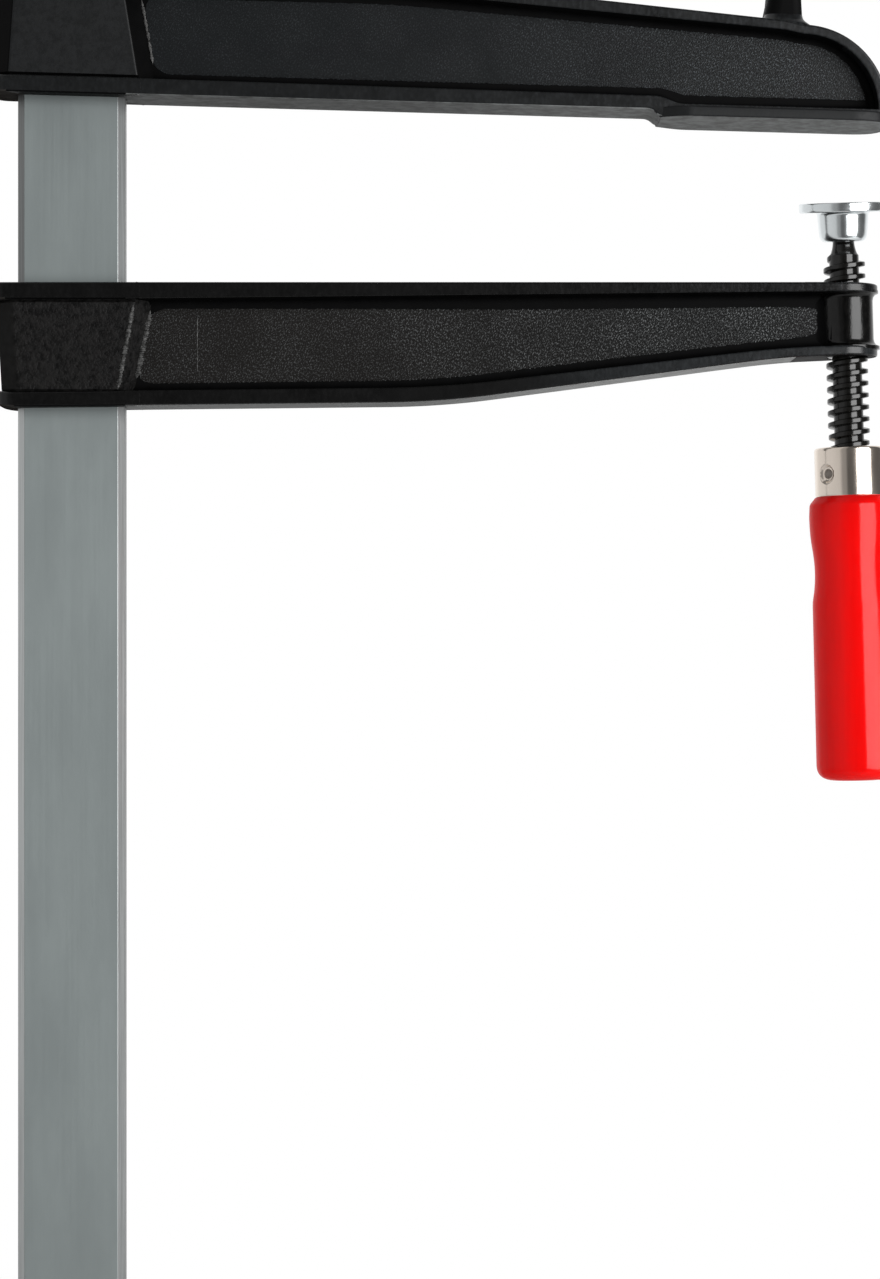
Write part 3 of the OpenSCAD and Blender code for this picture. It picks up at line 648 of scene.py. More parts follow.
# The fillets, the web round the panel and the lug's top are in the near-black painted shade.
fixed_shells = [
    (*skin(rim_rings(rim_outer, rim_inner)), RIM),
    *[(*skin(fillet_rings(rim_outer, rim_inner, side)), PAINTED_SHADE) for side in (-1, 1)],
    (*plate(web_loop, -WEB_HALF, WEB_HALF, WEB_EDGE, True), PAINTED_SHADE),
    (*plate(rough_edge(panel_loop, 0.3), -PANEL_HALF, PANEL_HALF, PANEL_EDGE, True), WEB),
    *[(*burr((-294.4, side * slope_y, 44.5), (-288.9, side * slope_y, 17.5), 0.9), BURR_HIGHLIGHT) for side in (-1, 1)],
    (*boss((7.0, 10.6, 11.6, 48.0, 49.2, 51.6), (-355.5, -353.6), (-293.5, -302.1), TOE_IN), BOSS),
    (*flange_heel(LONG_HEEL, THROAT_RIM[0] - OVERLAP, THROAT_RIM[1] + 0.1, TOE_IN), RIM),
    (*flange_heel(SHORT_HEEL, BACK_RIM[1] - OVERLAP, BACK_RIM[0] + OVERLAP, TOE_IN), RIM),
    (*plate(jaw_loop, 0.0, JAW_THICK, 0.8), BOSS),
    (*skin(raised(lug_loops[:7], lug_heights[:7], False)), RIM),
    (*skin(raised(lug_loops[6:], lug_heights[6:], False)), PAINTED_SHADE),
]


def looks_down(normals, middles):
    """Faces that look down, the rounded edges round them included."""
    return normals[:, 2] < DOWN


def looks_straight_down(normals, middles):
    """Faces that look down, without the rounded edges round them."""
    return normals[:, 2] < STRAIGHT_DOWN


def under_round_bar(normals, middles):
    """Faces that look down close round the bar."""
    return looks_down(normals, middles) & (np.abs(middles[:, 0] - BAR_SHADE[0]) < BAR_SHADE[1])


def under_heel(normals, middles):
    """Faces that look down behind the bar."""
    return looks_down(normals, middles) & (middles[:, 0] < HEEL_SHADE)


def throat_side(normals, middles):
    """Faces of the fixed arm that look down into the throat."""
    return looks_down(normals, middles) & (middles[:, 2] < THROAT_LIT_TOP)


def boss_edges(normals, middles):
    """Faces of the boss that slope from its broad sides to the heel and to the web."""
    return off_broad_sides(normals, middles) & (middles[:, 0] < BOSS_SHADE)


# The rules paint light and shade on the fixed arm: near-black painted shade on downward faces close round the
# bar, on the rims' other downward faces and on the boss's sloping edges; a dim grey painted shade on downward
# faces behind the bar; a light grey painted light from below on downward faces in the throat and under the
# boss.
make_piece("fixed_arm", fixed_shells,
           [rim_black, fixed_boss_black, fixed_web_black, underside_painted_light, painted_shade_black, burr_painted_highlight, heel_painted_shade],
           "frame", TOE_IN,
           rules=[(RIM, PAINTED_SHADE, under_round_bar), (RIM, HEEL, under_heel), (RIM, UNDER, throat_side),
                  (RIM, PAINTED_SHADE, looks_straight_down), (BOSS, UNDER, looks_straight_down),
                  (BOSS, PAINTED_SHADE, boss_edges)])


# Two plain steel pins, driven from the back through the boss and the bar, lock the fixed arm.
# A third, at the bar's foot, stops the sliding arm. All are turned, with a small chamfer at each end.
ARM_PIN_R = 4.0
ARM_PIN_FRONT = -10.0
ARM_PIN_BACK = BOSS_HALF + 0.4
ARM_PIN_HEIGHTS = (25.0, 47.0)
STOP_PIN_R = 2.5
STOP_PIN_HALF = 10.0
STOP_PIN_HEIGHT = -493.0
BAR_MIDDLE = -322.5


def scuffed_steel(name, fineness, tones, roughness):
    """Plain steel with fine scuffs, which are lighter and rougher than the ground between them."""
    material, shader, wire = new_finish(name, Metallic=1.0)
    scuffs = wire.noise(wire.place(), fineness, 3.0, 0.6)
    wire.join(shader["Base Color"], wire.blend(scuffs, *tones))
    wire.join(shader["Roughness"], roughness + 0.2 * scuffs)
    return material


pin_steel = scuffed_steel("pin_steel", 420.0, [(0.34, 0.345, 0.35), (0.56, 0.565, 0.57)], 0.32)


def spun(profile, around=96):
    """A profile of radii and heights spun round the Z axis: one circle for each of its points."""
    profile = np.asarray(profile, float)
    a = np.linspace(0, 2 * math.pi, around, endpoint=False)
    circles = np.stack([np.cos(a), np.sin(a)], -1) * profile[:, None, :1]
    return raised(circles, profile[:, 1], False)


def cross_pin(x, z, radius, front, back):
    """A chamfered pin along Y, as a list of one shell."""
    chamfer = 0.12 * radius
    profile = [(0, front), (radius - chamfer, front), (radius, front + chamfer),
               (radius, back - chamfer), (radius - chamfer, back), (0, back)]
    rings = spun(profile, 40)
    shell = skin(np.stack([rings[..., 0] + x, rings[..., 2], rings[..., 1] + z], -1), "poles")
    return [(*shell, 0)]


for name, height in zip(("lower_arm_pin", "upper_arm_pin"), ARM_PIN_HEIGHTS):
    arm_pin = cross_pin(BAR_MIDDLE, height, ARM_PIN_R, ARM_PIN_FRONT, ARM_PIN_BACK)
    make_piece(name, arm_pin, [pin_steel], "frame")
stop_pin = cross_pin(BAR_MIDDLE, STOP_PIN_HEIGHT, STOP_PIN_R, -STOP_PIN_HALF, STOP_PIN_HALF)
make_piece("bar_stop_pin", stop_pin, [pin_steel], "frame")


# The sliding arm is the second casting, blackened like the first. Its boss has a slot that runs on
# the bar, and its rims end in a threaded barrel for the screw. Its underside rises from a soft bend to
# a short flat at the barrel, and its lower rim curls up a little behind the bar.
SLIDE_TOP = -66.4
SLIDE_FOOT = -118.4
BARREL_FOOT = -96.6
SLIDE_HEEL = -353.0
SLIDE_RISE = 2.0
SLIDE_BEND = -168.0
BEND_BLEND = 22.0
BARREL_FLAT = -16.0
FLAT_BLEND = 26.0
HEEL_CURL = 0.016
SLIDE_RIM = 6.2
TOP_RIM = 7.0
TIP_RIM = 4.0
TIP_EDGE = 0.9
TIP_END = 15.6
TIP_START = -16.5
SCREW_HOLE_R = 9.15
BARREL_R = 11.45
COLLAR_R = BARREL_R + 2.4
LEAN = 1.7
LOW_RIM_SHEEN_ZONE = (-0.2, -0.088)
SLIDE_UNDER_LIT_ZONE = (-0.017, -0.09)
BARREL, CHAMFER, LOW_HEEL, LOW_RIM = range(6, 10)


def soft_ramp(x, corner, blend):
    """Zero before the corner, x - corner after it, and a parabola within the blend on both sides."""
    t = np.clip((x - corner + blend) / (2 * blend), 0, 1)
    return np.where(x > corner + blend, x - corner, blend * t ** 2)


def soft_step(x, low, high):
    """0 before the low end, 1 after the high end, and 3 t^2 - 2 t^3 between them."""
    t = np.clip((x - low) / (high - low), 0, 1)
    return t ** 2 * (3 - 2 * t)


def under(x):
    """Height of the sliding arm's underside: nearly level, then a rise, then level at the barrel."""
    first = SLIDE_RISE / (SLIDE_BEND - SLIDE_HEEL)
    second = (BARREL_FOOT - SLIDE_FOOT - SLIDE_RISE) / (BARREL_FLAT - SLIDE_BEND)
    start = SLIDE_FOOT + first * (x - SLIDE_HEEL)
    bend = (second - first) * soft_ramp(x, SLIDE_BEND, BEND_BLEND)
    return start + bend - second * soft_ramp(x, BARREL_FLAT, FLAT_BLEND)


def low_heel_rise(x):
    """Rise of the lower rim's end: that of the underside, and a parabola up behind the bar."""
    return np.maximum(under(x) - SLIDE_FOOT, 0) + HEEL_CURL * np.maximum(BAR_BACK - x, 0) ** 2


def low_tip_rise(x):
    """Rise of the underside round the screw, from its level at the barrel."""
    return under(x) - BARREL_FOOT


def rim_depth(x, start, depth):
    """Thickness of a rim, from its depth at the bar to its depth at the tip."""
    t = np.clip((x - start) / (BARREL_FLAT - start), 0, 1)
    return depth + (TIP_RIM - depth) * t


def tip_ring(low, high, rise=no_rise):
    """The rim's end round the screw: straight sides and a round end, with a round hole, raised by a
    function of X."""
    half = RIM_HALF + OVERLAP
    a = np.linspace(-math.pi / 2, math.pi / 2, 33)
    end = np.stack([TIP_END - half + half * np.cos(a), half * np.sin(a)], -1)
    side = np.array([[TIP_START, half], [TIP_START, 0.0], [TIP_START, -half]])
    loop = np.concatenate([end, side])
    middle = -math.tan(math.radians(LEAN)) * (low + high) / 2
    way = loop - np.array([middle, 0.0])
    hole = np.array([middle, 0.0]) + SCREW_HOLE_R * way / np.linalg.norm(way, axis=1, keepdims=True)
    heights, insets = edge_levels(low, high, TIP_EDGE)
    loops = np.stack([inset(loop, d) for d in insets])
    return lifted(collar(loops, heights, hole, hole), rise)


slide_boss_black = boss_black("slide_boss_black", (0.0038, 0.0036, 0.0035), spread=0.9, relief=0.0003,
                              gloss=0.14)
slide_web_black = sandy_black("slide_web_black", calm=-0.26, coarse=-0.02, least=0.42,
                              tones=[(0.0072, 0.0064, 0.006), (0.0006, 0.0007, 0.0008)],
                              painted_glint_tone=(0.118, 0.124, 0.126), relief=0.0002, gloss=0.12)
chamfer_black = dull_black("chamfer_black", (0.007, 0.0068, 0.0065), (0.012, 0.0118, 0.0115), gloss=0.06,
                           fineness=330.0)
# A light grey painted light for the sliding arm's underside as far as the barrel, as if lit from below,
# lighter towards the tip.
slide_underside_painted_light = dull_black("slide_underside_painted_light", (0.088, 0.089, 0.088), (0.138, 0.143, 0.142), gloss=0.12,
                               gain=2.2)
slide_rim_black = smooth_black("slide_rim_black", [(0.003, 0.003, 0.003), (0.0045, 0.0048, 0.0052)], 0.25)
# The lower rim's run up to the barrel is painted about four times lighter and a little bluer towards the tip:
# a painted sheen.
low_rim_painted_sheen = smooth_black("low_rim_painted_sheen", [(0.003, 0.003, 0.003), (0.012, 0.0133, 0.0143)], 0.25,
                             change=(-0.145, -0.09), grit=0.3)
barrel_black = smooth_black("barrel_black", [(0.0012, 0.0011, 0.001), (0.0014, 0.0013, 0.0012)], 0.17)

flange_x = np.concatenate([[STRIP_START], np.linspace(-192, -144, 14), np.linspace(-110, -8, 18)])
top_outer = np.stack([flange_x, np.full_like(flange_x, SLIDE_TOP)], -1)
top_inner = top_outer - np.stack([0 * flange_x, rim_depth(flange_x, BAR_FRONT, TOP_RIM)], -1)
low_outer = np.stack([flange_x, under(flange_x)], -1)
low_inner = low_outer + np.stack([0 * flange_x, rim_depth(flange_x, SLIDE_BEND, SLIDE_RIM)], -1)
web_tip = np.array([(-5.0, BARREL_FOOT + 2.0), (-5.0, SLIDE_TOP - 2.0)])
in_rim = np.array([0, 2.0])
slide_web_loop = np.concatenate([low_outer + in_rim, web_tip, (top_outer - in_rim)[::-1]])
panel_x = flange_x[1:-3]
low_gap = FILLET + 0.6 * soft_step(panel_x, -190.0, -120.0)
high_gap = FILLET - 0.4 + 2.2 * soft_step(panel_x, -290.0, -110.0)
panel_low = low_inner[1:-3] + np.stack([0 * panel_x, low_gap], -1)
panel_high = (top_inner[1:-3] - np.stack([0 * panel_x, high_gap], -1))[::-1]
panel_top = SLIDE_TOP - 9.6
panel_foot = SLIDE_FOOT + 10.4
slide_panel_loop = np.concatenate([
    ease((-293.8, panel_foot + 5.4), (-295.0, panel_foot), (-288.0, panel_foot), 6), panel_low,
    ease((-13.5, BARREL_FOOT + 8.6), (-10.0, BARREL_FOOT + 8.9), (-10.2, BARREL_FOOT + 11.4), 6),
    ease((-10.2, SLIDE_TOP - 12.0), (-10.0, SLIDE_TOP - 9.9), (-13.0, SLIDE_TOP - 9.8), 6), panel_high,
    ease((-281.0, panel_top - 0.6), (-288.6, panel_top - 0.7), (-289.6, panel_top - 4.8), 6)])
collar_top = [(SCREW_HOLE_R, -2.8), (COLLAR_R, -2.8), (COLLAR_R, -4.0), (BARREL_R + 1.0, -4.6),
              (BARREL_R + 0.3, -5.6), (BARREL_R, -7.0)]
collar_foot = [(BARREL_R, 7.1), (BARREL_R + 0.3, 5.7), (BARREL_R + 1.0, 4.7), (COLLAR_R, 4.1),
               (COLLAR_R, 2.7), (SCREW_HOLE_R, 2.7)]
barrel_profile = np.concatenate([np.add(collar_top, (0.0, SLIDE_TOP)),
                                 np.add(collar_foot, (0.0, BARREL_FOOT))])
barrel_points, barrel_faces = skin(spun(barrel_profile), "joined")
barrel_points = turned(barrel_points, -LEAN) / MM
web_flank = ease((-10.8, WEB_HALF + 0.03), (-8.0, WEB_HALF + 0.03), (-4.6, 9.0), 12)
web_end = np.concatenate([web_flank * np.array([1, -1]), web_flank[::-1]])
front_edge = [(-295.6, 13.6, SLIDE_TOP - 8.6), (-302.2, 13.6, SLIDE_FOOT + 7.3)]
slope_foot = [(-289.4, slope_y, SLIDE_TOP - 11.0), (-295.4, slope_y, SLIDE_FOOT + 12.0)]
parting = [(-269.7, PANEL_HALF, SLIDE_TOP - 12.0), (-269.7, PANEL_HALF, SLIDE_FOOT + 15.0)]
# The burrs take the mottled painted highlight.
burrs = [(*burr(*np.multiply(line, (1, side, 1)), radius), BURR_HIGHLIGHT)
         for line, radius in ((front_edge, 1.3), (slope_foot, 1.8), (parting, 0.26))
         for side in (-1, 1)]
boss_heights = (SLIDE_FOOT + 4.1, SLIDE_FOOT + 6.3, SLIDE_FOOT + 7.5,
                SLIDE_TOP - 8.4, SLIDE_TOP - 7.2, SLIDE_TOP - 4.6)
# The fillets, the web round the panel and the web's end at the barrel are in the near-black painted shade.
slide_shells = [
    (*skin(rim_rings(top_outer, top_inner)), RIM),
    (*skin(rim_rings(low_outer, low_inner)), RIM),
    *[(*skin(fillet_rings(top_outer, top_inner, side)), PAINTED_SHADE) for side in (-1, 1)],
    *[(*skin(fillet_rings(low_outer, low_inner, side)), PAINTED_SHADE) for side in (-1, 1)],
    (*plate(slide_web_loop, -WEB_HALF, WEB_HALF, WEB_EDGE, True), PAINTED_SHADE),
    (*plate(rough_edge(slide_panel_loop, 0.35), -PANEL_HALF, PANEL_HALF, PANEL_EDGE, True), WEB),
    *burrs,
    (*boss(boss_heights, (-351.2, -353.8), (-302.8, -294.4), 0.0), BOSS),
    (*flange_heel(LONG_HEEL - 0.2, SLIDE_TOP - TOP_RIM - OVERLAP, SLIDE_TOP + OVERLAP, 0.0), RIM),
    (*flange_heel(SHORT_HEEL, SLIDE_FOOT - OVERLAP, SLIDE_FOOT + SLIDE_RIM + OVERLAP, 0.0,
                  low_heel_rise), RIM),
    (*tip_ring(SLIDE_TOP - TIP_RIM - OVERLAP, SLIDE_TOP + OVERLAP), RIM),
    (*tip_ring(BARREL_FOOT - OVERLAP, BARREL_FOOT + TIP_RIM + OVERLAP, low_tip_rise), RIM),
    (barrel_points, barrel_faces, BARREL),
    (*plate(web_end, BARREL_FOOT + 2.6, SLIDE_TOP - 2.8, 0.01), PAINTED_SHADE),
]


def low_rim_front(normals, middles):
    """Faces of the lower rim on its way up to the barrel, apart from its underside."""
    beside = (middles[:, 0] > LOW_RIM_SHEEN_ZONE[0]) & (middles[:, 2] < LOW_RIM_SHEEN_ZONE[1])
    return beside & (normals[:, 2] > DOWN)


def heel_chamfer(normals, middles):
    """Faces of the boss that look back."""
    return normals[:, 0] < -0.3


def slide_underside(normals, middles):
    """Faces that look down along the lower rim, as far as the barrel."""
    low = (middles[:, 0] < SLIDE_UNDER_LIT_ZONE[0]) & (middles[:, 2] < SLIDE_UNDER_LIT_ZONE[1])
    return low & looks_straight_down(normals, middles)


# The rules paint light and shade on the sliding arm: a painted sheen on the lower rim's run up to the barrel;
# near-black painted shade on downward faces close round the bar and on the rims' other downward faces; a dim
# grey painted shade on downward faces behind the bar; a light grey painted light from below along the
# underside as far as the barrel. The boss's heel chamfer gets a matt black.
make_piece("sliding_arm", slide_shells,
           [slide_rim_black, slide_boss_black, slide_web_black, slide_underside_painted_light, painted_shade_black, burr_painted_highlight,
            barrel_black, chamfer_black, heel_painted_shade, low_rim_painted_sheen],
           "sliding_arm",
           rules=[(RIM, LOW_RIM, low_rim_front), (BOSS, CHAMFER, heel_chamfer), (RIM, PAINTED_SHADE, under_round_bar),
                  (RIM, LOW_HEEL, under_heel), (RIM, UNDER, slide_underside),
                  (RIM, PAINTED_SHADE, looks_straight_down)])


# The grip pins are two short pins of hardened steel, pressed into the boss of the sliding arm at the
# slot's upper back and lower front. They stand a hair proud of the slot, and bite the bar's edges when
# the arm tips under load. The boss hides them.
GRIP_PIN_R = 3.0
GRIP_PIN_PROUD = 0.12
GRIP_PIN_INSET = 10.0
GRIP_PIN_HALF = 4.4
pin_back = BAR_BACK - SLOT_CLEAR - GRIP_PIN_R + GRIP_PIN_PROUD
pin_front = BAR_FRONT + SLOT_CLEAR + GRIP_PIN_R - GRIP_PIN_PROUD
for name, x, height in (("upper_grip_pin", pin_back, SLIDE_TOP - GRIP_PIN_INSET),
                        ("lower_grip_pin", pin_front, SLIDE_FOOT + GRIP_PIN_INSET)):
    grip_pin = cross_pin(x, height, GRIP_PIN_R, -GRIP_PIN_HALF, GRIP_PIN_HALF)
    make_piece(name, grip_pin, [pin_steel], "sliding_arm")


# The spindle is a steel screw with a coarse trapezoidal thread, blackened. A neck and a ball at its
# top carry the pressure plate, and a plain tang below the thread is driven into the handle.
PITCH = 5.0
STEPS_A_TURN = 48
RUN_OUT_STEPS = 22
RUN_IN_STEPS = 80
THREAD_PHASE = 55.1
ROOT_R = 6.2
CREST_R = 8.75
CREST_HALF = 0.9
FOOT_HALF = 1.62
THREAD_TOP = -54.6
THREAD_FOOT = -134.55
THREAD_START = -135.4
BALL_Z = -42.88
BALL_R = 7.0
GROOVE_R = 5.95
GROOVE_HALF = 0.75
GROOVE_ANGLE = 5.9
NECK_R = 4.5
TANG_R = 6.0
TANG_FOOT = -225.2

black_steel, shader, wire = new_finish("black_steel", Specular_IOR_Level=0.42)
oxide = wire.noise(wire.place(), 300.0, 3.0, 0.6)
wire.join(shader["Base Color"], wire.blend(oxide, (0.0015, 0.0014, 0.0012), (0.006, 0.0056, 0.005)))
wire.join(shader["Roughness"], 0.10 + 0.10 * oxide)

above = np.radians(np.linspace(90, GROOVE_ANGLE, 16))
below = np.radians(np.linspace(-GROOVE_ANGLE, -50.0, 10))
ball_up = np.stack([BALL_R * np.cos(above), BALL_Z + BALL_R * np.sin(above)], -1)
ball_down = np.stack([BALL_R * np.cos(below), BALL_Z + BALL_R * np.sin(below)], -1)
groove = [(GROOVE_R, BALL_Z + GROOVE_HALF), (GROOVE_R, BALL_Z - GROOVE_HALF)]
neck = ease((NECK_R, -48.5), (NECK_R + 0.2, -51.1), (5.6, -53.2), 8)
shaft = [(ROOT_R, -54.0), (ROOT_R, THREAD_FOOT + 0.2), (TANG_R, THREAD_FOOT), (TANG_R, TANG_FOOT),
         (0.0, TANG_FOOT)]
core = skin(spun(np.concatenate([ball_up, groove, ball_down, neck, shaft]), 64), "poles")
# The thread is a ridge wound up the core. It fades out at the neck and is worn lower at the handle.
turns_high = (THREAD_TOP - THREAD_START) / PITCH
steps = np.arange(0, round(turns_high * STEPS_A_TURN))
middle = THREAD_START + PITCH * steps / STEPS_A_TURN
wind = math.pi + 2 * math.pi * (middle + THREAD_PHASE) / PITCH
grow = np.clip((steps[-1] - steps) / RUN_OUT_STEPS, 0, 1)
full = CREST_R - 0.4 * np.clip(1 - steps / RUN_IN_STEPS, 0, 1)
crest = ROOT_R - 0.2 + (full - ROOT_R + 0.2) * np.sin(grow * math.pi / 2)
low_r = np.full_like(crest, ROOT_R - 0.4)
radius = np.stack([low_r, crest, crest, low_r], -1)
rise = np.broadcast_to([-FOOT_HALF, -CREST_HALF, CREST_HALF, FOOT_HALF], radius.shape)
ridge = rounded(np.stack([radius, rise], -1), [0.05, 0.35, 0.35, 0.05], 3)
thread = np.stack([ridge[..., 0] * np.cos(wind)[:, None], ridge[..., 0] * np.sin(wind)[:, None],
                   np.maximum(ridge[..., 1] + middle[:, None], THREAD_FOOT + 0.02)], -1)
make_piece("spindle", [(*core, 0), (*skin(thread), 0)], [black_steel], "spindle", -LEAN, 30)


# The ball ring is a split ring of spring steel wire that snaps into the ball's groove and stands out
# into a wider groove in the cup, so that the plate stays on the ball. Nothing of it shows.
ring_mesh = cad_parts["ball_ring"].data
ring_mesh.materials.clear()
ring_mesh.materials.append(pin_steel)


# The pressure plate is a steel disc with a cup pressed into one piece under it, bright plated.
# A spring ring in the cup snaps over the ball, so that the plate swivels to suit the work.
PLATE_TOP = -31.8
PLATE_R = 18.3
PLATE_RIM = 4.0
CUP_R = 10.8
CUP_FOOT = -48.1
MOUTH_R = 7.15
RING_ROOM_R = 8.05
RING_ROOM_HALF = 2.4
SEAT_R = 7.08
PLATE_HANG = 6.5

plated_steel, shader, wire = new_finish("plated_steel", Metallic=1.0)
haze = wire.noise(wire.place(), 160.0, 3.0, 0.55)
wire.join(shader["Base Color"], wire.blend(haze, (0.76, 0.81, 0.83), (0.90, 0.935, 0.945)))
wire.join(shader["Roughness"], 0.13 + 0.12 * haze)
wire.join(shader["Normal"], wire.bump(haze, 0.06, 0.0005))

seat = np.radians(np.linspace(19.8, 90, 12))
rim_foot = PLATE_TOP - PLATE_RIM
plate_profile = np.concatenate([
    [(0.0, PLATE_TOP), (PLATE_R - 0.8, PLATE_TOP)],
    ease((PLATE_R - 0.7, PLATE_TOP), (PLATE_R, PLATE_TOP), (PLATE_R, PLATE_TOP - 0.7), 5),
    ease((PLATE_R, rim_foot + 0.9), (PLATE_R, rim_foot), (PLATE_R - 0.9, rim_foot), 6),
    ease((CUP_R + 1.3, rim_foot), (CUP_R, rim_foot), (CUP_R - 0.1, rim_foot - 1.4), 6),
    ease((CUP_R - 0.6, CUP_FOOT + 4.2), (CUP_R - 0.9, CUP_FOOT), (CUP_R - 3.4, CUP_FOOT), 12),
    [(MOUTH_R + 0.05, CUP_FOOT), (MOUTH_R, CUP_FOOT + 0.1), (MOUTH_R, BALL_Z - RING_ROOM_HALF),
     (RING_ROOM_R, BALL_Z - RING_ROOM_HALF), (RING_ROOM_R, BALL_Z + RING_ROOM_HALF)],
    np.stack([SEAT_R * np.cos(seat), BALL_Z + SEAT_R * np.sin(seat)], -1)])
plate_profile[-1, 0] = 0.0
plate_points, plate_faces = skin(spun(plate_profile, 128), "poles")
hang = math.radians(PLATE_HANG)
side = plate_points[:, 1]
up = plate_points[:, 2] - BALL_Z
plate_points = np.stack([plate_points[:, 0], side * math.cos(hang) - up * math.sin(hang),
                         BALL_Z + side * math.sin(hang) + up * math.cos(hang)], -1)
make_piece("pressure_plate", [(plate_points, plate_faces, 0)], [plated_steel], "pressure_plate",
           -LEAN)


# The ferrule is a drawn steel cap, bright plated, pressed over the handle's top. A cross pin goes
# through it, the wood and the tang, and the wall is punched in round both of the pin's ends.
FERRULE_TOP = -134.6
FERRULE_FOOT = -155.2
FERRULE_R = 14.9
FERRULE_WALL = 1.3
FERRULE_ROUND = 1.5
FERRULE_HOLE_R = 6.3
PIN_Z = -145.8
PIN_TURN = 49.0
PIN_R = 2.5
PIN_HALF = 14.5
DIMPLE_R = 4.2
DIMPLE_DEPTH = 1.28

plated_cap, shader, wire = new_finish("plated_cap", Metallic=1.0)
rub = wire.noise(wire.stretched(wire.place(), (1.0, 1.0, 0.25)), 240.0, 3.0, 0.55)
wire.join(shader["Base Color"], wire.blend(rub, (0.79, 0.7, 0.61), (0.9, 0.8, 0.71)))
wire.join(shader["Roughness"], 0.10 + 0.10 * rub)
wire.join(shader["Normal"], wire.bump(rub, 0.05, 0.0004))

dull_pin = scuffed_steel("dull_pin", 500.0, [(0.10, 0.09, 0.08), (0.42, 0.37, 0.33)], 0.4)

wall_heights = np.linspace(FERRULE_TOP - 1.6, FERRULE_FOOT + 0.5, 56)
cap_inner = FERRULE_R - FERRULE_WALL
ferrule_profile = np.concatenate([
    [(FERRULE_HOLE_R, FERRULE_TOP - FERRULE_WALL), (FERRULE_HOLE_R, FERRULE_TOP)],
    ease((FERRULE_R - FERRULE_ROUND, FERRULE_TOP), (FERRULE_R, FERRULE_TOP),
         (FERRULE_R, FERRULE_TOP - FERRULE_ROUND), 6),
    np.stack([np.full_like(wall_heights, FERRULE_R), wall_heights], -1),
    [(FERRULE_R - 0.3, FERRULE_FOOT), (cap_inner, FERRULE_FOOT), (cap_inner, FERRULE_TOP - FERRULE_WALL)]])
cap_rings = spun(ferrule_profile, 224)
from_pin = np.arctan2(cap_rings[..., 0], -cap_rings[..., 1]) + math.radians(PIN_TURN)
off_pin = FERRULE_R * np.abs(np.sin(from_pin))
reach = np.hypot(off_pin, cap_rings[..., 2] - PIN_Z)
slant = np.clip((DIMPLE_R - reach) / (DIMPLE_R - PIN_R - 0.3), 0, 1)
dent = DIMPLE_DEPTH * slant ** 2 * (3 - 2 * slant)
spread = np.hypot(cap_rings[..., 0], cap_rings[..., 1])
on_wall = spread > FERRULE_R - 0.01
cap_rings[..., :2] *= (1 - on_wall * dent / spread)[..., None]
make_piece("ferrule", [(*skin(cap_rings, "joined"), 0)], [plated_cap], "spindle", -LEAN)
half_pin = [(0.0, PIN_HALF), (1.0, PIN_HALF - 0.1), (1.8, PIN_HALF - 0.5), (PIN_R, PIN_HALF - 1.3)]
pin_profile = np.concatenate([half_pin, np.multiply(half_pin, (1, -1))[::-1]])
pin_points, pin_faces = skin(spun(pin_profile, 40), "poles")
wide, tall, long = pin_points.T
pin_turn = math.radians(PIN_TURN)
pin_points = np.stack([wide * math.cos(pin_turn) + long * math.sin(pin_turn),
                       long * math.cos(pin_turn) - wide * math.sin(pin_turn), tall + PIN_Z], -1)
make_piece("ferrule_pin", [(pin_points, pin_faces, 0)], [dull_pin], "spindle", -LEAN)


# The handle is turned from beech and dipped in a thick red lacquer: a bevelled shoulder under the
# ferrule, a waist for the thumb, a long round body and a rounded foot. The grain shows only faintly.
HANDLE_LENGTH = 119.0
SPIGOT_R = 13.5
SPIGOT_GAP = 0.05
SHOULDER_R = 17.75
WAIST_R = 16.05
BODY_R = 17.4
FOOT_R = 17.77

red_lacquer, shader, wire = new_finish("red_lacquer", Coat_Weight=0.37, Coat_Roughness=0.13, Coat_IOR=1.45,
                                       Specular_IOR_Level=0.0, Roughness=0.5, Subsurface_Weight=0.9,
                                       Subsurface_Radius=(1.0, 0.05, 0.05), Subsurface_Scale=0.06)
place = wire.place()
grain = wire.noise(wire.stretched(place, (1.0, 1.0, 0.05)), 420.0, 3.0, 0.6)
runs = wire.noise(wire.stretched(place, (1.0, 1.0, 0.5)), 120.0, 2.0, 0.5)
wire.join(shader["Base Color"], wire.blend(grain, (0.54, 0.0026, 0.0024), (0.64, 0.003, 0.0026)))
wire.join(shader["Normal"], wire.bump(runs + grain * 0.25, 0.1, 0.001))

spigot_top = FERRULE_TOP - FERRULE_WALL - SPIGOT_GAP
spigot = [(0.0, spigot_top), (SPIGOT_R, spigot_top), (SPIGOT_R, FERRULE_FOOT - SPIGOT_GAP)]
# The grip's radii and depths, which are measured down from the ferrule's foot.
grip = np.concatenate([
    [(FERRULE_R - 0.1, SPIGOT_GAP)],
    ease((FERRULE_R + 0.1, 0.1), (FERRULE_R + 0.3, 0.2), (FERRULE_R + 0.5, 0.6), 3),
    ease((SHOULDER_R - 0.9, 2.3), (SHOULDER_R - 0.4, 2.9), (SHOULDER_R - 0.25, 3.9), 6),
    ease((SHOULDER_R, 8.0), (SHOULDER_R, 15.5), (17.0, 20.5), 10),
    ease((16.85, 21.5), (WAIST_R, 26.8), (WAIST_R, 31.4), 10),
    ease((WAIST_R, 31.8), (WAIST_R, 37.0), (BODY_R - 0.25, 42.9), 10),
    ease((BODY_R - 0.2, 43.2), (BODY_R, 44.4), (BODY_R, 47.5), 5),
    ease((FOOT_R, HANDLE_LENGTH - 6.5), (FOOT_R, HANDLE_LENGTH), (FOOT_R - 8.0, HANDLE_LENGTH), 12),
    [(0.0, HANDLE_LENGTH)]])
handle_profile = np.concatenate([spigot, np.stack([grip[:, 0], FERRULE_FOOT - grip[:, 1]], -1)])
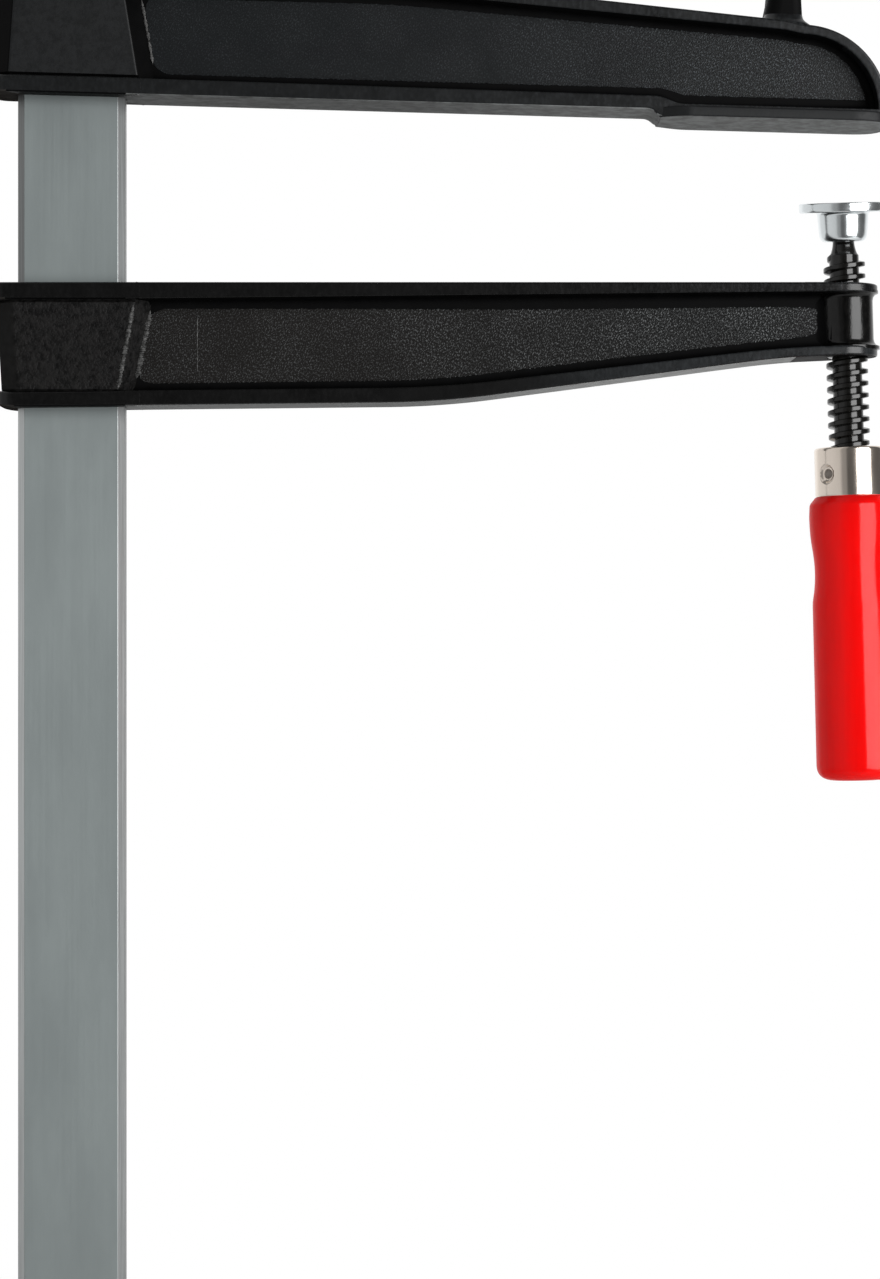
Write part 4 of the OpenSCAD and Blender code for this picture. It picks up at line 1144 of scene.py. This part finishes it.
make_piece("handle", [(*skin(spun(handle_profile, 128), "poles"), 0)], [red_lacquer], "spindle",
           -LEAN, 40)


# The studio: a pale floor below the lowest pose, one tall soft lamp to the right of the camera, and a
# white room that is dim only where the camera stands and beyond the lamp.
CAMERA_RANGE = 1.47
CAMERA_X = -0.16807
CAMERA_Z = -0.21517
SENSOR_MM = 36.0
VIEW_HEIGHT = 0.5374
LAMP_PLACE = (1.023, -1.264, -0.05)
LAMP_TURN = 39
LAMP_WIDE = 1.36
LAMP_TALL = 1.7
LAMP_WATTS = 56.0
FLOOR_Z = -0.7
FLOOR_X = (-1.4, 1.1)
FLOOR_Y = (-0.5, 1.0)
floor_mesh = bpy.data.meshes.new("floor")
floor_corners = [(FLOOR_X[i], FLOOR_Y[j], FLOOR_Z) for i, j in ((0, 0), (1, 0), (1, 1), (0, 1))]
floor_mesh.from_pydata(floor_corners, [], [(0, 1, 2, 3)])
pale_floor = new_finish("pale_floor", Roughness=0.8, Base_Color=(0.65, 0.65, 0.65, 1.0))[0]
floor_mesh.materials.append(pale_floor)
floor = bpy.data.objects.new("floor", floor_mesh)
bpy.context.scene.collection.objects.link(floor)

world = bpy.data.worlds.new("studio")
bpy.context.scene.world = world
world.use_nodes = True
wire = Wire(world.node_tree)
way = wire.node("ShaderNodeTexCoord", {}, {}, out="Generated")
away = wire.axis(way, 1)
bearing = wire.math("ARCTAN2", wire.axis(way, 0), 0.0 - away) * (0.5 / math.pi) + 0.5
room_stops = [(0.0, 0.85), (0.25, 0.68), (0.39, 0.58), (0.41, 0.3), (0.445, 0.28), (0.458, 0.09),
              (0.53, 0.09), (0.56, 0.15), (0.69, 0.12), (0.805, 0.1), (0.855, 0.85), (1.0, 0.85)]
room = wire.node("ShaderNodeValToRGB", {"stops": room_stops}, {0: bearing})
seen = wire.node("ShaderNodeLightPath", {}, {}, out="Is Camera Ray")
mirrored = wire.node("ShaderNodeLightPath", {}, {}, out="Is Glossy Ray")
through = wire.node("ShaderNodeLightPath", {}, {}, out="Is Transmission Ray")
behind = wire.step(away, 0.6, 0.9)
light = wire.blend(seen + (mirrored + through) * behind, room, (1.0, 1.0, 1.0))
background = world.node_tree.nodes["Background"]
wire.join(background.inputs["Color"], light)
background.inputs["Strength"].default_value = 1.0

lamp_data = bpy.data.lights.new("soft_lamp", "AREA")
lamp_data.shape = "RECTANGLE"
lamp_data.size = LAMP_WIDE
lamp_data.size_y = LAMP_TALL
lamp_data.energy = LAMP_WATTS
lamp = bpy.data.objects.new("soft_lamp", lamp_data)
lamp.location = LAMP_PLACE
lamp.rotation_euler = (math.radians(90), 0.0, math.radians(LAMP_TURN))
bpy.context.scene.collection.objects.link(lamp)

camera_data = bpy.data.cameras.new("camera")
camera_data.sensor_width = SENSOR_MM
camera_data.lens = SENSOR_MM * CAMERA_RANGE / VIEW_HEIGHT
camera = bpy.data.objects.new("camera", camera_data)
camera.location = (CAMERA_X, -CAMERA_RANGE, CAMERA_Z)
camera.rotation_euler = (math.radians(90), 0.0, 0.0)
bpy.context.scene.collection.objects.link(camera)
bpy.context.scene.camera = camera
bpy.context.scene.view_settings.view_transform = "Standard"
